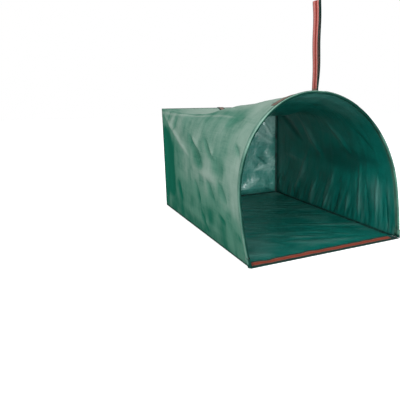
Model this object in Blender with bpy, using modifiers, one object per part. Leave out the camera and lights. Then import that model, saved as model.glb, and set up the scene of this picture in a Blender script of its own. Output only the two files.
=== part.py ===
"""Pop up leaf bag, lying on its floor panel with the mouth open.

A bent rod in a cloth sleeve holds the mouth open as an arch. A band of webbing ties the rod's two
feet together along the ground, like the string of a bow, and makes the flat lip that leaves are
swept over. Behind it the bag is soft: one cloth wraps up one side, over the roof and down the
other, and is sewn to a floor panel and to an upright back panel. Two loops of webbing carry it.

Metres, +Z up. The mouth faces -Y, the floor panel's underside is at Z = 0, and the origin is in
the middle of the floor, halfway between the lip and the back panel.
"""

import math

import bmesh
import bpy
import numpy as np

# Driving dimensions
FLOOR_LENGTH = 0.800        # from the rod's feet to the back panel
LIP_WIDTH = 0.596           # between the rod's feet
REAR_WIDTH = 0.590
REAR_HEIGHT = 0.430
REAR_SET_BACK = 0.016       # how far the back panel's top lies behind its foot
HOOP_HEIGHT = 0.514         # along the leaning mouth, to the rod's centre
HOOP_WIDTH = 0.620          # between the rod's centres where the arch is widest
HOOP_WIDEST_AT = 0.180      # height of the widest place, along the mouth
HOOP_LEAN = math.radians(13.2)
ROOF_SAG = 0.048            # how far the roof's middle hangs below a tight one
SHOULDER_SAG = 0.012        # and how far the shoulders do
CLOTH = 0.0012
WEBBING_WIDTH = 0.030
WEBBING = 0.0016
ROD_RADIUS = 0.0030
GAP = 0.0003                # between pieces that touch

# The wrap's shape, in shares of the girth: how far each sag reaches from the roof's middle, and
# the stretch of the arch below and above its shoulder that is drawn into the rear corner
SAG_SPREAD_SHARE, SHOULDER_SPREAD_SHARE = 0.20, 0.45
FAN_BELOW_SHARE, FAN_ABOVE_SHARE, FAN_HELD_SHARE = 0.10, 0.15, 0.012
SAG_POWER, SHOULDER_SAG_POWER = 1, 2
SAG_LATE_POWER = 2.3        # above 1, the sag is deepest past halfway to the rear
SHOULDER_LATE_POWER = 1.25
WALL_ROWS, ROOF_ROWS, WRAP_ALONG = 14, 20, 20
HOOP_STEPS, FOOT_STEPS = 96, 24
STEP_SHARE = 1e-3           # how far apart two places are taken to find a direction

# Hoop sleeve
SLEEVE_CLOTH = 0.0009
SLEEVE_DEPTH = 0.013        # how far the sleeve's two edges reach back over the wrap
SLEEVE_FOOT = 0.0315        # height of its ends above the lip
FOLD_OPENING = math.radians(60)     # of the round of cloth that goes over the rod
FOLD_TURNS = 7
FOLD_CLOSED_SHARE = 2.2     # where the two sides have closed up, as a share of the fold's radius
SHARP_FROM = math.radians(40)

# Plastic caps on the rod's feet, and the cloth pockets that they sit in
CAP_RADIUS = 0.0052
CAP_LENGTH = 0.018
CAP_END = 0.003
CAP_FOOT = 0.004
POCKET_CLOTH = 0.0010
POCKET_DEPTH = 0.022
POCKET_FOOT = 0.0035
POCKET_TOP = 0.0300
POCKET_STATIONS = 5
CAP_STEPS = 16
CAP_MERGE = 1e-5

# Lip
HEM_OVERHANG = 0.004
HEM_DEPTH = 0.034
HEM_END_INSET = 0.0085
LIP_WEBBING_SET_BACK = 0.001
LIP_WEBBING_LEFT_INSET = 0.010
LIP_WEBBING_RIGHT_INSET = 0.030
FLOOR_GRID, HEM_GRID, BACK_GRID = (6, 8), (8, 2), (6, 5)

# Bindings over the raw seam edges, inside the bag
BINDING_WIDTH = 0.010
BINDING = 0.0014
BINDING_FRONT_INSET = 0.060
BINDING_ROWS = 6

# Top handle: two sewn stretches and the free loop between them
TOP_SEWN_LENGTH = 0.160
TOP_OFFSET = 0.0100         # how far right of the crown the loop stands
TOP_WEBBING_FRONT = 0.0078  # its front edge lies on the sleeve, this far behind the rod
TOP_LOOP_LENGTH = 0.2643
TOP_SPREAD = 0.0060
TOP_SPREAD_EARLY_POWER = 2 / 3      # below 1, the legs are furthest apart near their foot
TOP_FOLD_RADIUS = 0.0028
TOP_TWIST = math.radians(9)
TOP_LEAN = 0.009
TOP_WAVE = 0.0025
TOP_WAVE_TURNS = 1.5
SEWN_ROWS = 10
TOP_KNUCKLE = 0.0060        # how far the legs reach past the line that the loop turns about

# Rear handle: a strip sewn over the rear seam, and the loop that hangs from it
REAR_OFFSET = -0.015        # left of the middle
REAR_STRIP_ON_ROOF = 0.036
REAR_STRIP_ON_BACK = 0.050
REAR_PIVOT_DROP = 0.006
REAR_LOOP_LENGTH = 0.150
REAR_SPREAD = 0.014
REAR_FOLD_RADIUS = 0.0060
REAR_KNUCKLE = 0.0020
STRIP_ROWS, BEND_ROWS = 5, 5

# How a loop's two legs are held together at its foot
PINCH_GAP = 0.0003
LOOP_ROWS, LOOP_FOLD_ROWS = 16, 9

# Bar tacks of thread
TACK_LENGTH = 0.024
TACK_WIDTH = 0.0022
TACK = 0.0006
TACK_INSET = 0.006

LIP_Y = -FLOOR_LENGTH / 2
BACK_Y = FLOOR_LENGTH / 2
WALL_FOOT = CLOTH + GAP
WRAP_START = (CAP_RADIUS + 2 * GAP) / FLOOR_LENGTH
WRAP_END = 1 - 2 * GAP / FLOOR_LENGTH
PINCH = WEBBING / 2 + PINCH_GAP / 2
HALF_ROUND = math.pi
MIDDLE = 1 / 2              # of the girth: the crown


def start():
    """An empty scene with one collection for the bag."""
    for thing in list(bpy.data.objects):
        bpy.data.objects.remove(thing)
    collection = bpy.data.collections.new("pop_up_leaf_bag")
    bpy.context.scene.collection.children.link(collection)
    return collection


BAG = start()


def material(name, colour, roughness):
    made = bpy.data.materials.new(name)
    made.use_nodes = True
    shader = made.node_tree.nodes["Principled BSDF"]
    shader.inputs["Base Color"].default_value = (*colour, 1)
    shader.inputs["Roughness"].default_value = roughness
    return made


FINISHES = {
    "outer_cloth": material("outer_cloth", (0.135, 0.258, 0.202), 0.5),
    "inner_cloth": material("inner_cloth", (0.012, 0.105, 0.080), 0.35),
    "edge_cloth": material("edge_cloth", (0.188, 0.376, 0.323), 0.55),
    "webbing": material("webbing", (0.348, 0.092, 0.086), 0.8),
    "rod": material("rod", (0.05, 0.05, 0.05), 0.4),
    "cap": material("cap", (0.01, 0.01, 0.01), 0.5),
    "thread": material("thread", (0.03, 0.05, 0.04), 0.7),
}


def named(name, thing, finish):
    """The object that carries this mesh or curve, in the bag's collection."""
    made = bpy.data.objects.new(name, thing)
    thing.materials.append(FINISHES[finish])
    BAG.objects.link(made)
    return made


def surface_sheet(bm, place, rows, columns):
    """A grid of quads whose point (i, j) lies at place(i / rows, j / columns)."""
    grid = [
        [bm.verts.new(place(i / rows, j / columns)) for j in range(columns + 1)]
        for i in range(rows + 1)
    ]
    for near, far in zip(grid, grid[1:]):
        for j in range(columns):
            bm.faces.new((near[j], far[j], far[j + 1], near[j + 1]))


def cloth_piece(name, place, thickness, finish, rows=1, columns=1):
    """A sheet made as thick as its cloth, half of the thickness on either side of it."""
    bm = bmesh.new()
    surface_sheet(bm, place, rows, columns)
    bmesh.ops.recalc_face_normals(bm, faces=bm.faces)
    mesh = bpy.data.meshes.new(name)
    bm.to_mesh(mesh)
    bm.free()
    made = named(name, mesh, finish)
    solid = made.modifiers.new("thickness", "SOLIDIFY")
    solid.thickness = thickness
    solid.offset = 0
    return made


def swept_piece(name, rings, finish):
    """A closed body through rings of points, each ring one outline of the same count."""
    bm = bmesh.new()
    loops = [[bm.verts.new(point) for point in ring] for ring in rings]
    for near, far in zip(loops, loops[1:]):
        for i in range(len(near)):
            bm.faces.new((near[i - 1], near[i], far[i], far[i - 1]))
    bm.faces.new(loops[0])
    bm.faces.new(reversed(loops[-1]))
    bmesh.ops.recalc_face_normals(bm, faces=bm.faces)
    mesh = bpy.data.meshes.new(name)
    bm.to_mesh(mesh)
    bm.free()
    mesh.shade_smooth()
    mesh.set_sharp_from_angle(angle=SHARP_FROM)
    return named(name, mesh, finish)


def unit(vector):
    return np.asarray(vector) / np.linalg.norm(vector)


def polyline(points):
    """A function from a share of the line's length to the place there."""
    points = np.asarray(points, float)
    lengths = np.linalg.norm(np.diff(points, axis=0), axis=1)
    reached = np.concatenate([[0], np.cumsum(lengths)])

    def at(share):
        there = np.clip(share, 0, 1) * reached[-1]
        return np.array([np.interp(there, reached, points[:, k]) for k in range(points.shape[1])])

    return at, reached[-1]


def point_by_point(points):
    """A function from 0 to 1 that reaches each of these points in turn, in equal steps."""
    points = np.asarray(points, float)
    steps = np.linspace(0, 1, len(points))

    def at(share):
        return np.array([np.interp(share, steps, points[:, k]) for k in range(points.shape[1])])

    return at, len(points) - 1


def hoop_outline():
    """The rod's centre line from the left foot to the right one, as (across, height) points."""
    half, widest = LIP_WIDTH / 2, HOOP_WIDTH / 2
    below = np.linspace(0, 1, FOOT_STEPS, endpoint=False)
    turn = np.linspace(0, HALF_ROUND / 2, HOOP_STEPS)
    across = np.concatenate([widest - (widest - half) * (1 - below) ** 2, widest * np.cos(turn)])
    rise = HOOP_HEIGHT - HOOP_WIDEST_AT
    height = np.concatenate([HOOP_WIDEST_AT * below, HOOP_WIDEST_AT + rise * np.sin(turn)])
    left = np.stack([-across, height], 1)
    right = np.stack([across, height], 1)[::-1]
    return np.concatenate([left, right[1:]])


HOOP_AT, HOOP_LENGTH = polyline(hoop_outline())
REAR_AT, REAR_LENGTH = polyline(
    [
        (-REAR_WIDTH / 2, 0),
        (-REAR_WIDTH / 2, REAR_HEIGHT),
        (REAR_WIDTH / 2, REAR_HEIGHT),
        (REAR_WIDTH / 2, 0),
    ]
)


def mouth_place(girth):
    """The rod's centre line, at a share of its length, on the leaning plane of the mouth."""
    across, height = HOOP_AT(girth)
    return np.array([across, LIP_Y + height * math.sin(HOOP_LEAN), height * math.cos(HOOP_LEAN)])


def back_y(height):
    """The back panel's inner face at this height."""
    return BACK_Y + REAR_SET_BACK * height / REAR_HEIGHT


def rear_place(girth):
    across, height = REAR_AT(girth)
    return np.array([across, back_y(height), height])


def fanned(girth):
    """Where a line of the cloth that leaves the arch here ends on the rear outline."""
    corner = REAR_HEIGHT / REAR_LENGTH
    on_arch = [0, corner - FAN_BELOW_SHARE, corner, corner + FAN_ABOVE_SHARE]
    on_rear = [0, corner - FAN_HELD_SHARE, corner, corner + FAN_HELD_SHARE]
    mirrored = [1 - share for share in reversed(on_arch)], [1 - share for share in reversed(on_rear)]
    return np.interp(girth, on_arch + mirrored[0], on_rear + mirrored[1])


def wrap_place(girth, along):
    """The wrap's middle surface: straight from the mouth to the rear, with the slack that sags."""
    near, far = mouth_place(girth), rear_place(fanned(girth))
    place = near + (far - near) * along
    middle = (ROOF_SAG, SAG_SPREAD_SHARE, SAG_POWER, SAG_LATE_POWER)
    shoulder = (SHOULDER_SAG, SHOULDER_SPREAD_SHARE, SHOULDER_SAG_POWER, SHOULDER_LATE_POWER)
    for sag, reach, power, late in (middle, shoulder):
        deep = math.sin(HALF_ROUND * min(along, 1) ** late)
        across = min(abs(girth - MIDDLE) / reach, 1)
        place[2] -= sag * max(deep, 0) ** power * (1 + math.cos(HALF_ROUND * across)) / 2
    return place


def wrap_frame(girth, back=0.0):
    """A place on the wrap, back metres behind the rod, with its backward and outward directions."""
    along = back / np.linalg.norm(rear_place(fanned(girth)) - mouth_place(girth))
    place = wrap_place(girth, along)
    backward = unit(wrap_place(girth, along + 1 / WRAP_ALONG) - place)
    ahead, behind = min(girth + STEP_SHARE, 1), max(girth - STEP_SHARE, 0)
    around = wrap_place(ahead, along) - wrap_place(behind, along)
    return place, backward, unit(np.cross(backward, around)) * -1


def girth_at_height(height):
    """The share of the rod's length at which its left side stands at this height."""
    outline = hoop_outline()
    lengths = np.linalg.norm(np.diff(outline, axis=0), axis=1)
    reached = np.concatenate([[0], np.cumsum(lengths)])
    left = len(outline) // 2
    return np.interp(height, outline[:left, 1], reached[:left]) / HOOP_LENGTH


WRAP_ROWS = 2 * WALL_ROWS + ROOF_ROWS


def wrap_girth(first, share):
    """The wrap's rows, from its left edge to its right one, with a row on each rear corner."""
    corner = REAR_HEIGHT / REAR_LENGTH
    turn = WALL_ROWS / WRAP_ROWS
    return np.interp(share, [0, turn, 1 - turn, 1], [first, corner, 1 - corner, 1 - first])


def floor_half(y):
    """Half the floor's width here, between the lip's ends and the back panel's foot."""
    share = (y - LIP_Y) / FLOOR_LENGTH
    return (LIP_WIDTH + (REAR_WIDTH - LIP_WIDTH) * share) / 2


def strip(low, high):
    """A flat sheet between two corners that share one coordinate, for cloth_piece."""
    low, high = np.asarray(low, float), np.asarray(high, float)
    spans = [k for k in range(3) if low[k] != high[k]]

    def place(s, t):
        here = low.copy()
        here[spans[0]] += (high - low)[spans[0]] * s
        here[spans[1]] += (high - low)[spans[1]] * t
        return here

    return place


def panels():
    """The floor, the wrap and the back: three cloths, sewn edge to edge."""
    front = LIP_Y - HEM_OVERHANG + HEM_DEPTH + GAP
    rear = BACK_Y - GAP

    def floor(s, t):
        y = front + (rear - front) * t
        half = floor_half(y) + CLOTH / 2
        return np.array([(2 * s - 1) * half, y, CLOTH / 2])

    cloth_piece("floor_panel", floor, CLOTH, "inner_cloth", *FLOOR_GRID)

    first = girth_at_height(WALL_FOOT / math.cos(HOOP_LEAN))

    def wrap(s, t):
        girth, along = wrap_girth(first, s), WRAP_START + (WRAP_END - WRAP_START) * t
        place = wrap_place(girth, along)
        place[2] = max(place[2], WALL_FOOT)
        return place

    cloth_piece("wrap_panel", wrap, CLOTH, "outer_cloth", WRAP_ROWS, WRAP_ALONG)

    def back(s, t):
        height = REAR_HEIGHT * t + CLOTH / 2 * t
        return np.array([(s - MIDDLE) * (REAR_WIDTH + CLOTH), back_y(height) + CLOTH / 2 + GAP, height])

    cloth_piece("back_panel", back, CLOTH, "inner_cloth", *BACK_GRID)


def bindings():
    """Tape folded over the raw edges of the six seams, pressed flat inside the bag."""
    high = WALL_FOOT + BINDING / 2
    inset = CLOTH / 2 + 2 * GAP
    front = LIP_Y + BINDING_FRONT_INSET
    rear = BACK_Y - 2 * GAP
    side_rear = rear - BINDING_WIDTH - GAP
    for side, sign in (("left", -1), ("right", 1)):

        def beside(s, t, sign=sign):
            y = front + (side_rear - front) * t
            return np.array([sign * (floor_half(y) - inset - BINDING_WIDTH * s), y, high])

        cloth_piece(f"floor_binding_{side}", beside, BINDING, "inner_cloth", 1, BINDING_ROWS)

    inner = min(floor_half(rear), floor_half(rear - BINDING_WIDTH)) - inset
    rear_strip = strip((-inner, rear - BINDING_WIDTH, high), (inner, rear, high))
    cloth_piece("floor_binding_rear", rear_strip, BINDING, "inner_cloth", BINDING_ROWS, 1)

    foot = WALL_FOOT + BINDING + 2 * GAP
    head = REAR_HEIGHT - CLOTH - BINDING_WIDTH - 3 * GAP

    def on_back(across, height):
        return np.array([across, back_y(height) - BINDING / 2 - GAP, height])

    for side, sign in (("left", -1), ("right", 1)):
        edge = sign * (REAR_WIDTH / 2 - CLOTH / 2 - 2 * GAP)

        def upright(s, t, edge=edge, sign=sign):
            return on_back(edge - sign * BINDING_WIDTH * s, foot + (head - foot) * t)

        cloth_piece(f"back_binding_{side}", upright, BINDING, "inner_cloth", 1, BINDING_ROWS)

    def level(s, t):
        reach = REAR_WIDTH / 2 - CLOTH - BINDING
        return on_back(-reach + 2 * reach * s, head + GAP + BINDING_WIDTH * t)

    cloth_piece("back_binding_top", level, BINDING, "inner_cloth", BINDING_ROWS, 1)


def hairpin(radius, wall, depth, half_gap):
    """A strip folded round a rod, seen on end: its two edges lie either side of the wrap.

    Points are (back, out) from the rod's centre. The fold goes round the front of the rod, its
    flats clear of it, and past the rod the two sides close up on the cloth between them.
    """
    closed_at = FOLD_CLOSED_SHARE * radius

    def side(reach, gap):
        arc = np.linspace(FOLD_OPENING, 2 * HALF_ROUND - FOLD_OPENING, FOLD_TURNS)
        reach /= math.cos((arc[1] - arc[0]) / 2)
        fold = [(reach * math.cos(a), reach * math.sin(a)) for a in arc]
        return [(depth, gap), (closed_at, gap), *fold, (closed_at, -gap), (depth, -gap)]

    return side(radius + wall, half_gap + wall) + side(radius, half_gap)[::-1]


def folded_strip(name, outline, girths):
    """Sweeps a hairpin along the mouth, its legs following the wrap."""
    rings = []
    for girth in girths:
        place, backward, outward = wrap_frame(girth)
        rings.append([place + backward * a + outward * b for a, b in outline])
    return swept_piece(name, rings, "edge_cloth")


def hoop():
    """The rod, its sleeve, its end caps and their pockets."""
    first = girth_at_height(CAP_FOOT + CAP_END + GAP)
    low = girth_at_height(SLEEVE_FOOT)
    edge = girth_at_height(WALL_FOOT / math.cos(HOOP_LEAN))
    rows = [wrap_girth(edge, row / WRAP_ROWS) for row in range(WRAP_ROWS + 1)]
    sleeved = [low, *(row for row in rows if low < row < 1 - low), 1 - low]
    girths = [first, (first + low) / 2, *sleeved, 1 - (first + low) / 2, 1 - first]
    curve = bpy.data.curves.new("hoop_rod", "CURVE")
    curve.dimensions = "3D"
    curve.bevel_depth = ROD_RADIUS
    curve.bevel_resolution = 2
    curve.use_fill_caps = True
    line = curve.splines.new("POLY")
    line.points.add(len(girths) - 1)
    for point, girth in zip(line.points, girths):
        point.co = (*mouth_place(girth), 1)
    named("hoop_rod", curve, "rod")

    half_gap = CLOTH / 2 + GAP
    outline = hairpin(ROD_RADIUS + GAP, SLEEVE_CLOTH, SLEEVE_DEPTH, half_gap)
    folded_strip("hoop_sleeve", outline, sleeved)

    outline = hairpin(CAP_RADIUS + GAP, POCKET_CLOTH, POCKET_DEPTH, half_gap)
    low, high = girth_at_height(POCKET_FOOT), girth_at_height(POCKET_TOP)
    spans = {"left": (low, high), "right": (1 - low, 1 - high)}
    for side, (a, b) in spans.items():
        folded_strip(f"corner_pocket_{side}", outline, np.linspace(a, b, POCKET_STATIONS))
        rod_cap(side)


def rod_cap(side):
    """A turned plastic cup, pushed over the rod's foot."""
    bore = ROD_RADIUS + GAP
    profile = [
        (CAP_RADIUS, CAP_LENGTH),
        (CAP_RADIUS, 0),
        (0, 0),
        (0, CAP_END),
        (bore, CAP_END),
        (bore, CAP_LENGTH),
    ]
    mesh = bpy.data.meshes.new(f"rod_cap_{side}")
    edges = [(i, (i + 1) % len(profile)) for i in range(len(profile)) if i != 2]
    mesh.from_pydata([(x, 0, z) for x, z in profile], edges, [])
    cap = named(f"rod_cap_{side}", mesh, "cap")
    turned = cap.modifiers.new("turned", "SCREW")
    turned.steps = turned.render_steps = CAP_STEPS
    turned.use_merge_vertices = True
    turned.merge_threshold = CAP_MERGE
    low = girth_at_height(CAP_FOOT)
    high = girth_at_height(CAP_FOOT + CAP_LENGTH)
    ends = [mouth_place(g if side == "left" else 1 - g) for g in (low, high)]
    cap.location = ends[0]
    upward = unit(ends[1] - ends[0])
    lean_back = math.atan2(upward[1], upward[2])
    lean_out = math.asin(upward[0])
    cap.rotation_euler = (-lean_back, lean_out, 0)


def lip():
    """The bound front edge of the floor, and the webbing sewn along it."""
    half = LIP_WIDTH / 2 - HEM_END_INSET
    front = LIP_Y - HEM_OVERHANG
    hem = strip((-half, front, CLOTH / 2), (half, front + HEM_DEPTH, CLOTH / 2))
    cloth_piece("lip_hem", hem, CLOTH, "edge_cloth", *HEM_GRID)
    left = -LIP_WIDTH / 2 + LIP_WEBBING_LEFT_INSET
    right = LIP_WIDTH / 2 - LIP_WEBBING_RIGHT_INSET
    near = front + LIP_WEBBING_SET_BACK
    high = CLOTH + GAP + WEBBING / 2
    band = strip((left, near, high), (right, near + WEBBING_WIDTH, high))
    cloth_piece("lip_webbing", band, WEBBING, "webbing", SEWN_ROWS, 1)
    over = CLOTH + 2 * GAP + WEBBING + TACK / 2
    middle = near + WEBBING_WIDTH / 2
    for side, x in (("left", left + TACK_INSET), ("right", right - TACK_INSET - TACK_WIDTH)):
        low = (x, middle - TACK_LENGTH / 2, over)
        bar = strip(low, (x + TACK_WIDTH, middle + TACK_LENGTH / 2, over))
        cloth_piece(f"lip_tack_{side}", bar, TACK, "thread")


def on_wrap(girth, back, lift):
    """A place above the wrap's outer side, back metres behind the rod."""
    place, _, outward = wrap_frame(girth, back)
    return place + outward * (CLOTH / 2 + lift)


CROWN_BACK = TOP_WEBBING_FRONT + WEBBING_WIDTH / 2
TOP_AT = MIDDLE + TOP_OFFSET / HOOP_LENGTH


def loop(name, outline, frame):
    """A band of webbing that goes out along one leg, folds, and comes back along the other.

    outline holds (out from the middle, along the loop) points, and frame turns these, with the
    place across the band, into a place in the bag.
    """
    at, rows = point_by_point(outline)

    def place(s, t):
        out, along = at(s)
        return frame(out, along, (t - MIDDLE) * WEBBING_WIDTH)

    cloth_piece(name, place, WEBBING, "webbing", rows, 1)


def turning_clearance(knuckle):
    """How far a loop's turning line stays from the webbing, for its foot to pass."""
    return math.hypot(PINCH + WEBBING / 2, knuckle) + GAP


def loop_outline(length, near_spread, far_spread, fold_radius, knuckle, early=1):
    """Two legs, pinched together at their foot, that part, and a round fold at the far end."""
    shares = np.linspace(0, 1, LOOP_ROWS)
    straight = length - fold_radius

    def leg(spread):
        opened = PINCH + (fold_radius - PINCH) * shares
        opened = opened + spread * np.sin(HALF_ROUND * shares**early) ** 2
        return np.stack([opened, -knuckle + (straight + knuckle) * shares], 1)

    near, far = leg(near_spread) * (-1, 1), leg(far_spread)
    turn = np.linspace(HALF_ROUND, 0, LOOP_FOLD_ROWS)[1:-1]
    fold = np.stack([fold_radius * np.cos(turn), straight + fold_radius * np.sin(turn)], 1)
    return np.concatenate([near, fold, far[::-1]])


def top_handle():
    """Webbing sewn along the arch over the sleeve's edge, with its free loop near the crown."""
    share = TOP_SEWN_LENGTH / HOOP_LENGTH
    over_sleeve = SLEEVE_CLOTH + 2 * GAP
    lift = over_sleeve + WEBBING / 2
    tack_lift = over_sleeve + WEBBING + GAP + TACK / 2
    for side, sign in (("left", -1), ("right", 1)):
        inner = TOP_AT + sign * GAP / HOOP_LENGTH
        outer = inner + sign * share

        def sewn(s, t, inner=inner, outer=outer):
            back = TOP_WEBBING_FRONT + WEBBING_WIDTH * t
            return on_wrap(inner + (outer - inner) * s, back, lift)

        cloth_piece(f"top_webbing_{side}", sewn, WEBBING, "webbing", SEWN_ROWS, 2)
        tack_at = outer - sign * TACK_INSET / HOOP_LENGTH

        def bar(s, t, tack_at=tack_at, sign=sign):
            girth = tack_at - sign * TACK_WIDTH / HOOP_LENGTH * s
            return on_wrap(girth, CROWN_BACK + (t - MIDDLE) * TACK_LENGTH, tack_lift)

        cloth_piece(f"top_tack_{side}", bar, TACK, "thread", 1, 2)

    under, backward, outward = wrap_frame(TOP_AT, CROWN_BACK)
    over = CLOTH / 2 + lift + WEBBING / 2
    pivot = under + outward * (over + turning_clearance(TOP_KNUCKLE))
    axis = unit(backward * (0, 1, 1))
    slope = axis[2] / axis[1]
    spread, knuckle, early = TOP_SPREAD, TOP_KNUCKLE, TOP_SPREAD_EARLY_POWER
    outline = loop_outline(TOP_LOOP_LENGTH, spread, spread, TOP_FOLD_RADIUS, knuckle, early)

    def frame(out, along, across):
        share = max(along, 0) / TOP_LOOP_LENGTH
        turn = TOP_TWIST * share**3
        wave = TOP_WAVE * math.sin(TOP_WAVE_TURNS * 2 * HALF_ROUND * share) * share
        x = out * math.cos(turn) - across * math.sin(turn) + wave - TOP_LEAN * share
        y = out * math.sin(turn) + across * math.cos(turn)
        return pivot + np.array([x, y, along + across * slope * (1 - share)])

    loop("top_handle", outline, frame)
    return pivot, axis


def rear_handle():
    """A strip sewn over the middle of the rear seam, and the loop that hangs behind the bag."""
    lift = CLOTH / 2 + GAP + WEBBING / 2
    outer = CLOTH + 2 * GAP + WEBBING / 2

    seam = wrap_place(MIDDLE, WRAP_END)
    row = (WRAP_END - WRAP_START) / WRAP_ALONG
    rising = unit(seam - wrap_place(MIDDLE, WRAP_END - row))
    upward = np.cross((1, 0, 0), rising)
    steps = np.linspace(1, 0, STRIP_ROWS)
    points = [seam + upward * lift - rising * REAR_STRIP_ON_ROOF * step for step in steps]
    bend = GAP + WEBBING / 2
    corner = np.array([0, back_y(REAR_HEIGHT) + CLOTH + GAP, REAR_HEIGHT + CLOTH / 2])
    turned = math.atan2(upward[2], upward[1])
    for a in np.linspace(turned, 0, BEND_ROWS):
        points.append(corner + np.array([0, bend * math.cos(a), bend * math.sin(a)]))
    for step in np.linspace(0, 1, STRIP_ROWS)[1:]:
        height = REAR_HEIGHT - REAR_STRIP_ON_BACK * step
        points.append(np.array([0, back_y(height) + outer, height]))
    at, rows = point_by_point(points)

    def strip_place(s, t):
        return at(s) + np.array([REAR_OFFSET + (t - MIDDLE) * WEBBING_WIDTH, 0, 0])

    cloth_piece("rear_strip", strip_place, WEBBING, "webbing", rows, 1)

    lifted = lift + WEBBING / 2 + GAP + TACK / 2

    def roof_bar(s, t):
        back = REAR_STRIP_ON_ROOF - TACK_INSET - TACK_WIDTH * s
        across = np.array([REAR_OFFSET + (t - MIDDLE) * TACK_LENGTH, 0, 0])
        return seam + upward * lifted - rising * back + across

    def back_bar(s, t):
        height = REAR_HEIGHT - REAR_STRIP_ON_BACK + TACK_INSET + TACK_WIDTH * s
        out = back_y(height) + outer + WEBBING / 2 + GAP + TACK / 2
        return np.array([REAR_OFFSET + (t - MIDDLE) * TACK_LENGTH, out, height])

    cloth_piece("rear_tack_roof", roof_bar, TACK, "thread", 1, 2)
    cloth_piece("rear_tack_back", back_bar, TACK, "thread", 1, 2)

    height = REAR_HEIGHT - REAR_PIVOT_DROP
    out = back_y(height) + outer + WEBBING / 2 + turning_clearance(REAR_KNUCKLE)
    pivot = np.array([REAR_OFFSET, out, height])
    outline = loop_outline(REAR_LOOP_LENGTH, 0, REAR_SPREAD, REAR_FOLD_RADIUS, REAR_KNUCKLE)

    def frame(out, along, across):
        return pivot + np.array([across, out, -along])

    loop("rear_handle", outline, frame)
    return pivot


panels()
bindings()
hoop()
lip()
TOP_PIVOT, TOP_AXIS = top_handle()
REAR_PIVOT = rear_handle()
print("rod", HOOP_LENGTH, "m long; rear outline", REAR_LENGTH, "m long")
print("top handle turns at", TOP_PIVOT.round(5), "about", TOP_AXIS.round(6))
print("rear handle turns at", REAR_PIVOT.round(5))
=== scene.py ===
"""Pop up leaf bag: the cloth, webbing and thread of each piece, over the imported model's frame."""

import math

import bpy
import numpy as np
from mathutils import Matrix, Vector


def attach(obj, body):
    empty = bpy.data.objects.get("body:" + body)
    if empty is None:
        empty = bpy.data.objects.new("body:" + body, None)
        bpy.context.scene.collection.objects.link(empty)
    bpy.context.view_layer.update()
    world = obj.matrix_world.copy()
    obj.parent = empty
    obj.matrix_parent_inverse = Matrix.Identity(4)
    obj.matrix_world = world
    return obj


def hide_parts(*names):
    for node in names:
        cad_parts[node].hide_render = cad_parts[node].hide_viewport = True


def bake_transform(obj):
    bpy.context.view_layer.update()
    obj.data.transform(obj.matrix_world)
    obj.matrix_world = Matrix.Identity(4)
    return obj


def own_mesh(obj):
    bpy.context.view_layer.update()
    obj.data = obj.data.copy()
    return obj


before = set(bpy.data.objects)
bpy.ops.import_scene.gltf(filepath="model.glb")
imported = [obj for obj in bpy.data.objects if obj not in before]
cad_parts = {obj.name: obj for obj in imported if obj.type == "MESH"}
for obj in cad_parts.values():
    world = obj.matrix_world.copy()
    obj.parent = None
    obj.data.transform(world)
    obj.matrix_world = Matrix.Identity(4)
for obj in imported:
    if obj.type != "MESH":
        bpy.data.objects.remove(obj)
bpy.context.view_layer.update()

# The camera stands in front of the bag, to the left of its mouth and level with the crown.
# The shift puts the bag at the upper right of the frame, as in the photograph.
VIEW_AZIMUTH, VIEW_ELEVATION = math.radians(-26.209), math.radians(14.625)
LOOKED_AT, VIEW_DISTANCE = Vector((-0.1628, 0, 0.0925)), 1.6181
FRAME_SIZE, FOCAL_PIXELS = 405, 421.74
SHIFT_X, SHIFT_Y = -0.0773, -0.0016

toward_camera = Vector(
    (
        math.sin(VIEW_AZIMUTH) * math.cos(VIEW_ELEVATION),
        -math.cos(VIEW_AZIMUTH) * math.cos(VIEW_ELEVATION),
        math.sin(VIEW_ELEVATION),
    )
)
lens = bpy.data.cameras.new("camera")
lens.sensor_width = lens.sensor_height = 36
lens.lens = FOCAL_PIXELS * lens.sensor_width / FRAME_SIZE
lens.shift_x, lens.shift_y = SHIFT_X, SHIFT_Y
camera = bpy.data.objects.new("camera", lens)
camera.location = LOOKED_AT + toward_camera * VIEW_DISTANCE
camera.rotation_euler = (-toward_camera).to_track_quat("-Z", "Y").to_euler()
bpy.context.scene.collection.objects.link(camera)
bpy.context.scene.camera = camera
bpy.context.scene.view_settings.view_transform = "Standard"


class Wire:
    """One output in a material, with the operators that add its Math nodes."""

    def __init__(self, finish, output):
        self.finish, self.output = finish, output

    def maths(self, operation, *values):
        return self.finish.node("Math", {"operation": operation}, dict(enumerate(values)))

    def __add__(self, other):
        return self.maths("ADD", self, other)

    def __sub__(self, other):
        return self.maths("SUBTRACT", self, other)

    def __rsub__(self, other):
        return self.maths("SUBTRACT", other, self)

    def __mul__(self, other):
        return self.maths("MULTIPLY", self, other)

    def __truediv__(self, other):
        return self.maths("DIVIDE", self, other)

    def __lt__(self, other):
        return self.maths("LESS_THAN", self, other)

    def __abs__(self):
        return self.maths("ABSOLUTE", self)

    __radd__, __rmul__ = __add__, __mul__

    def wave(self):
        return self.maths("SINE", self)

    def part(self):
        return self.maths("FRACT", self)

    def steps(self):
        return self.maths("FLOOR", self)

    def between(self, low, high):
        """0 below low, 1 above high, and smooth between them."""
        settings = {"interpolation_type": "SMOOTHSTEP"}
        return self.finish.node("MapRange", settings, {0: self, 1: low, 2: high})


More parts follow.
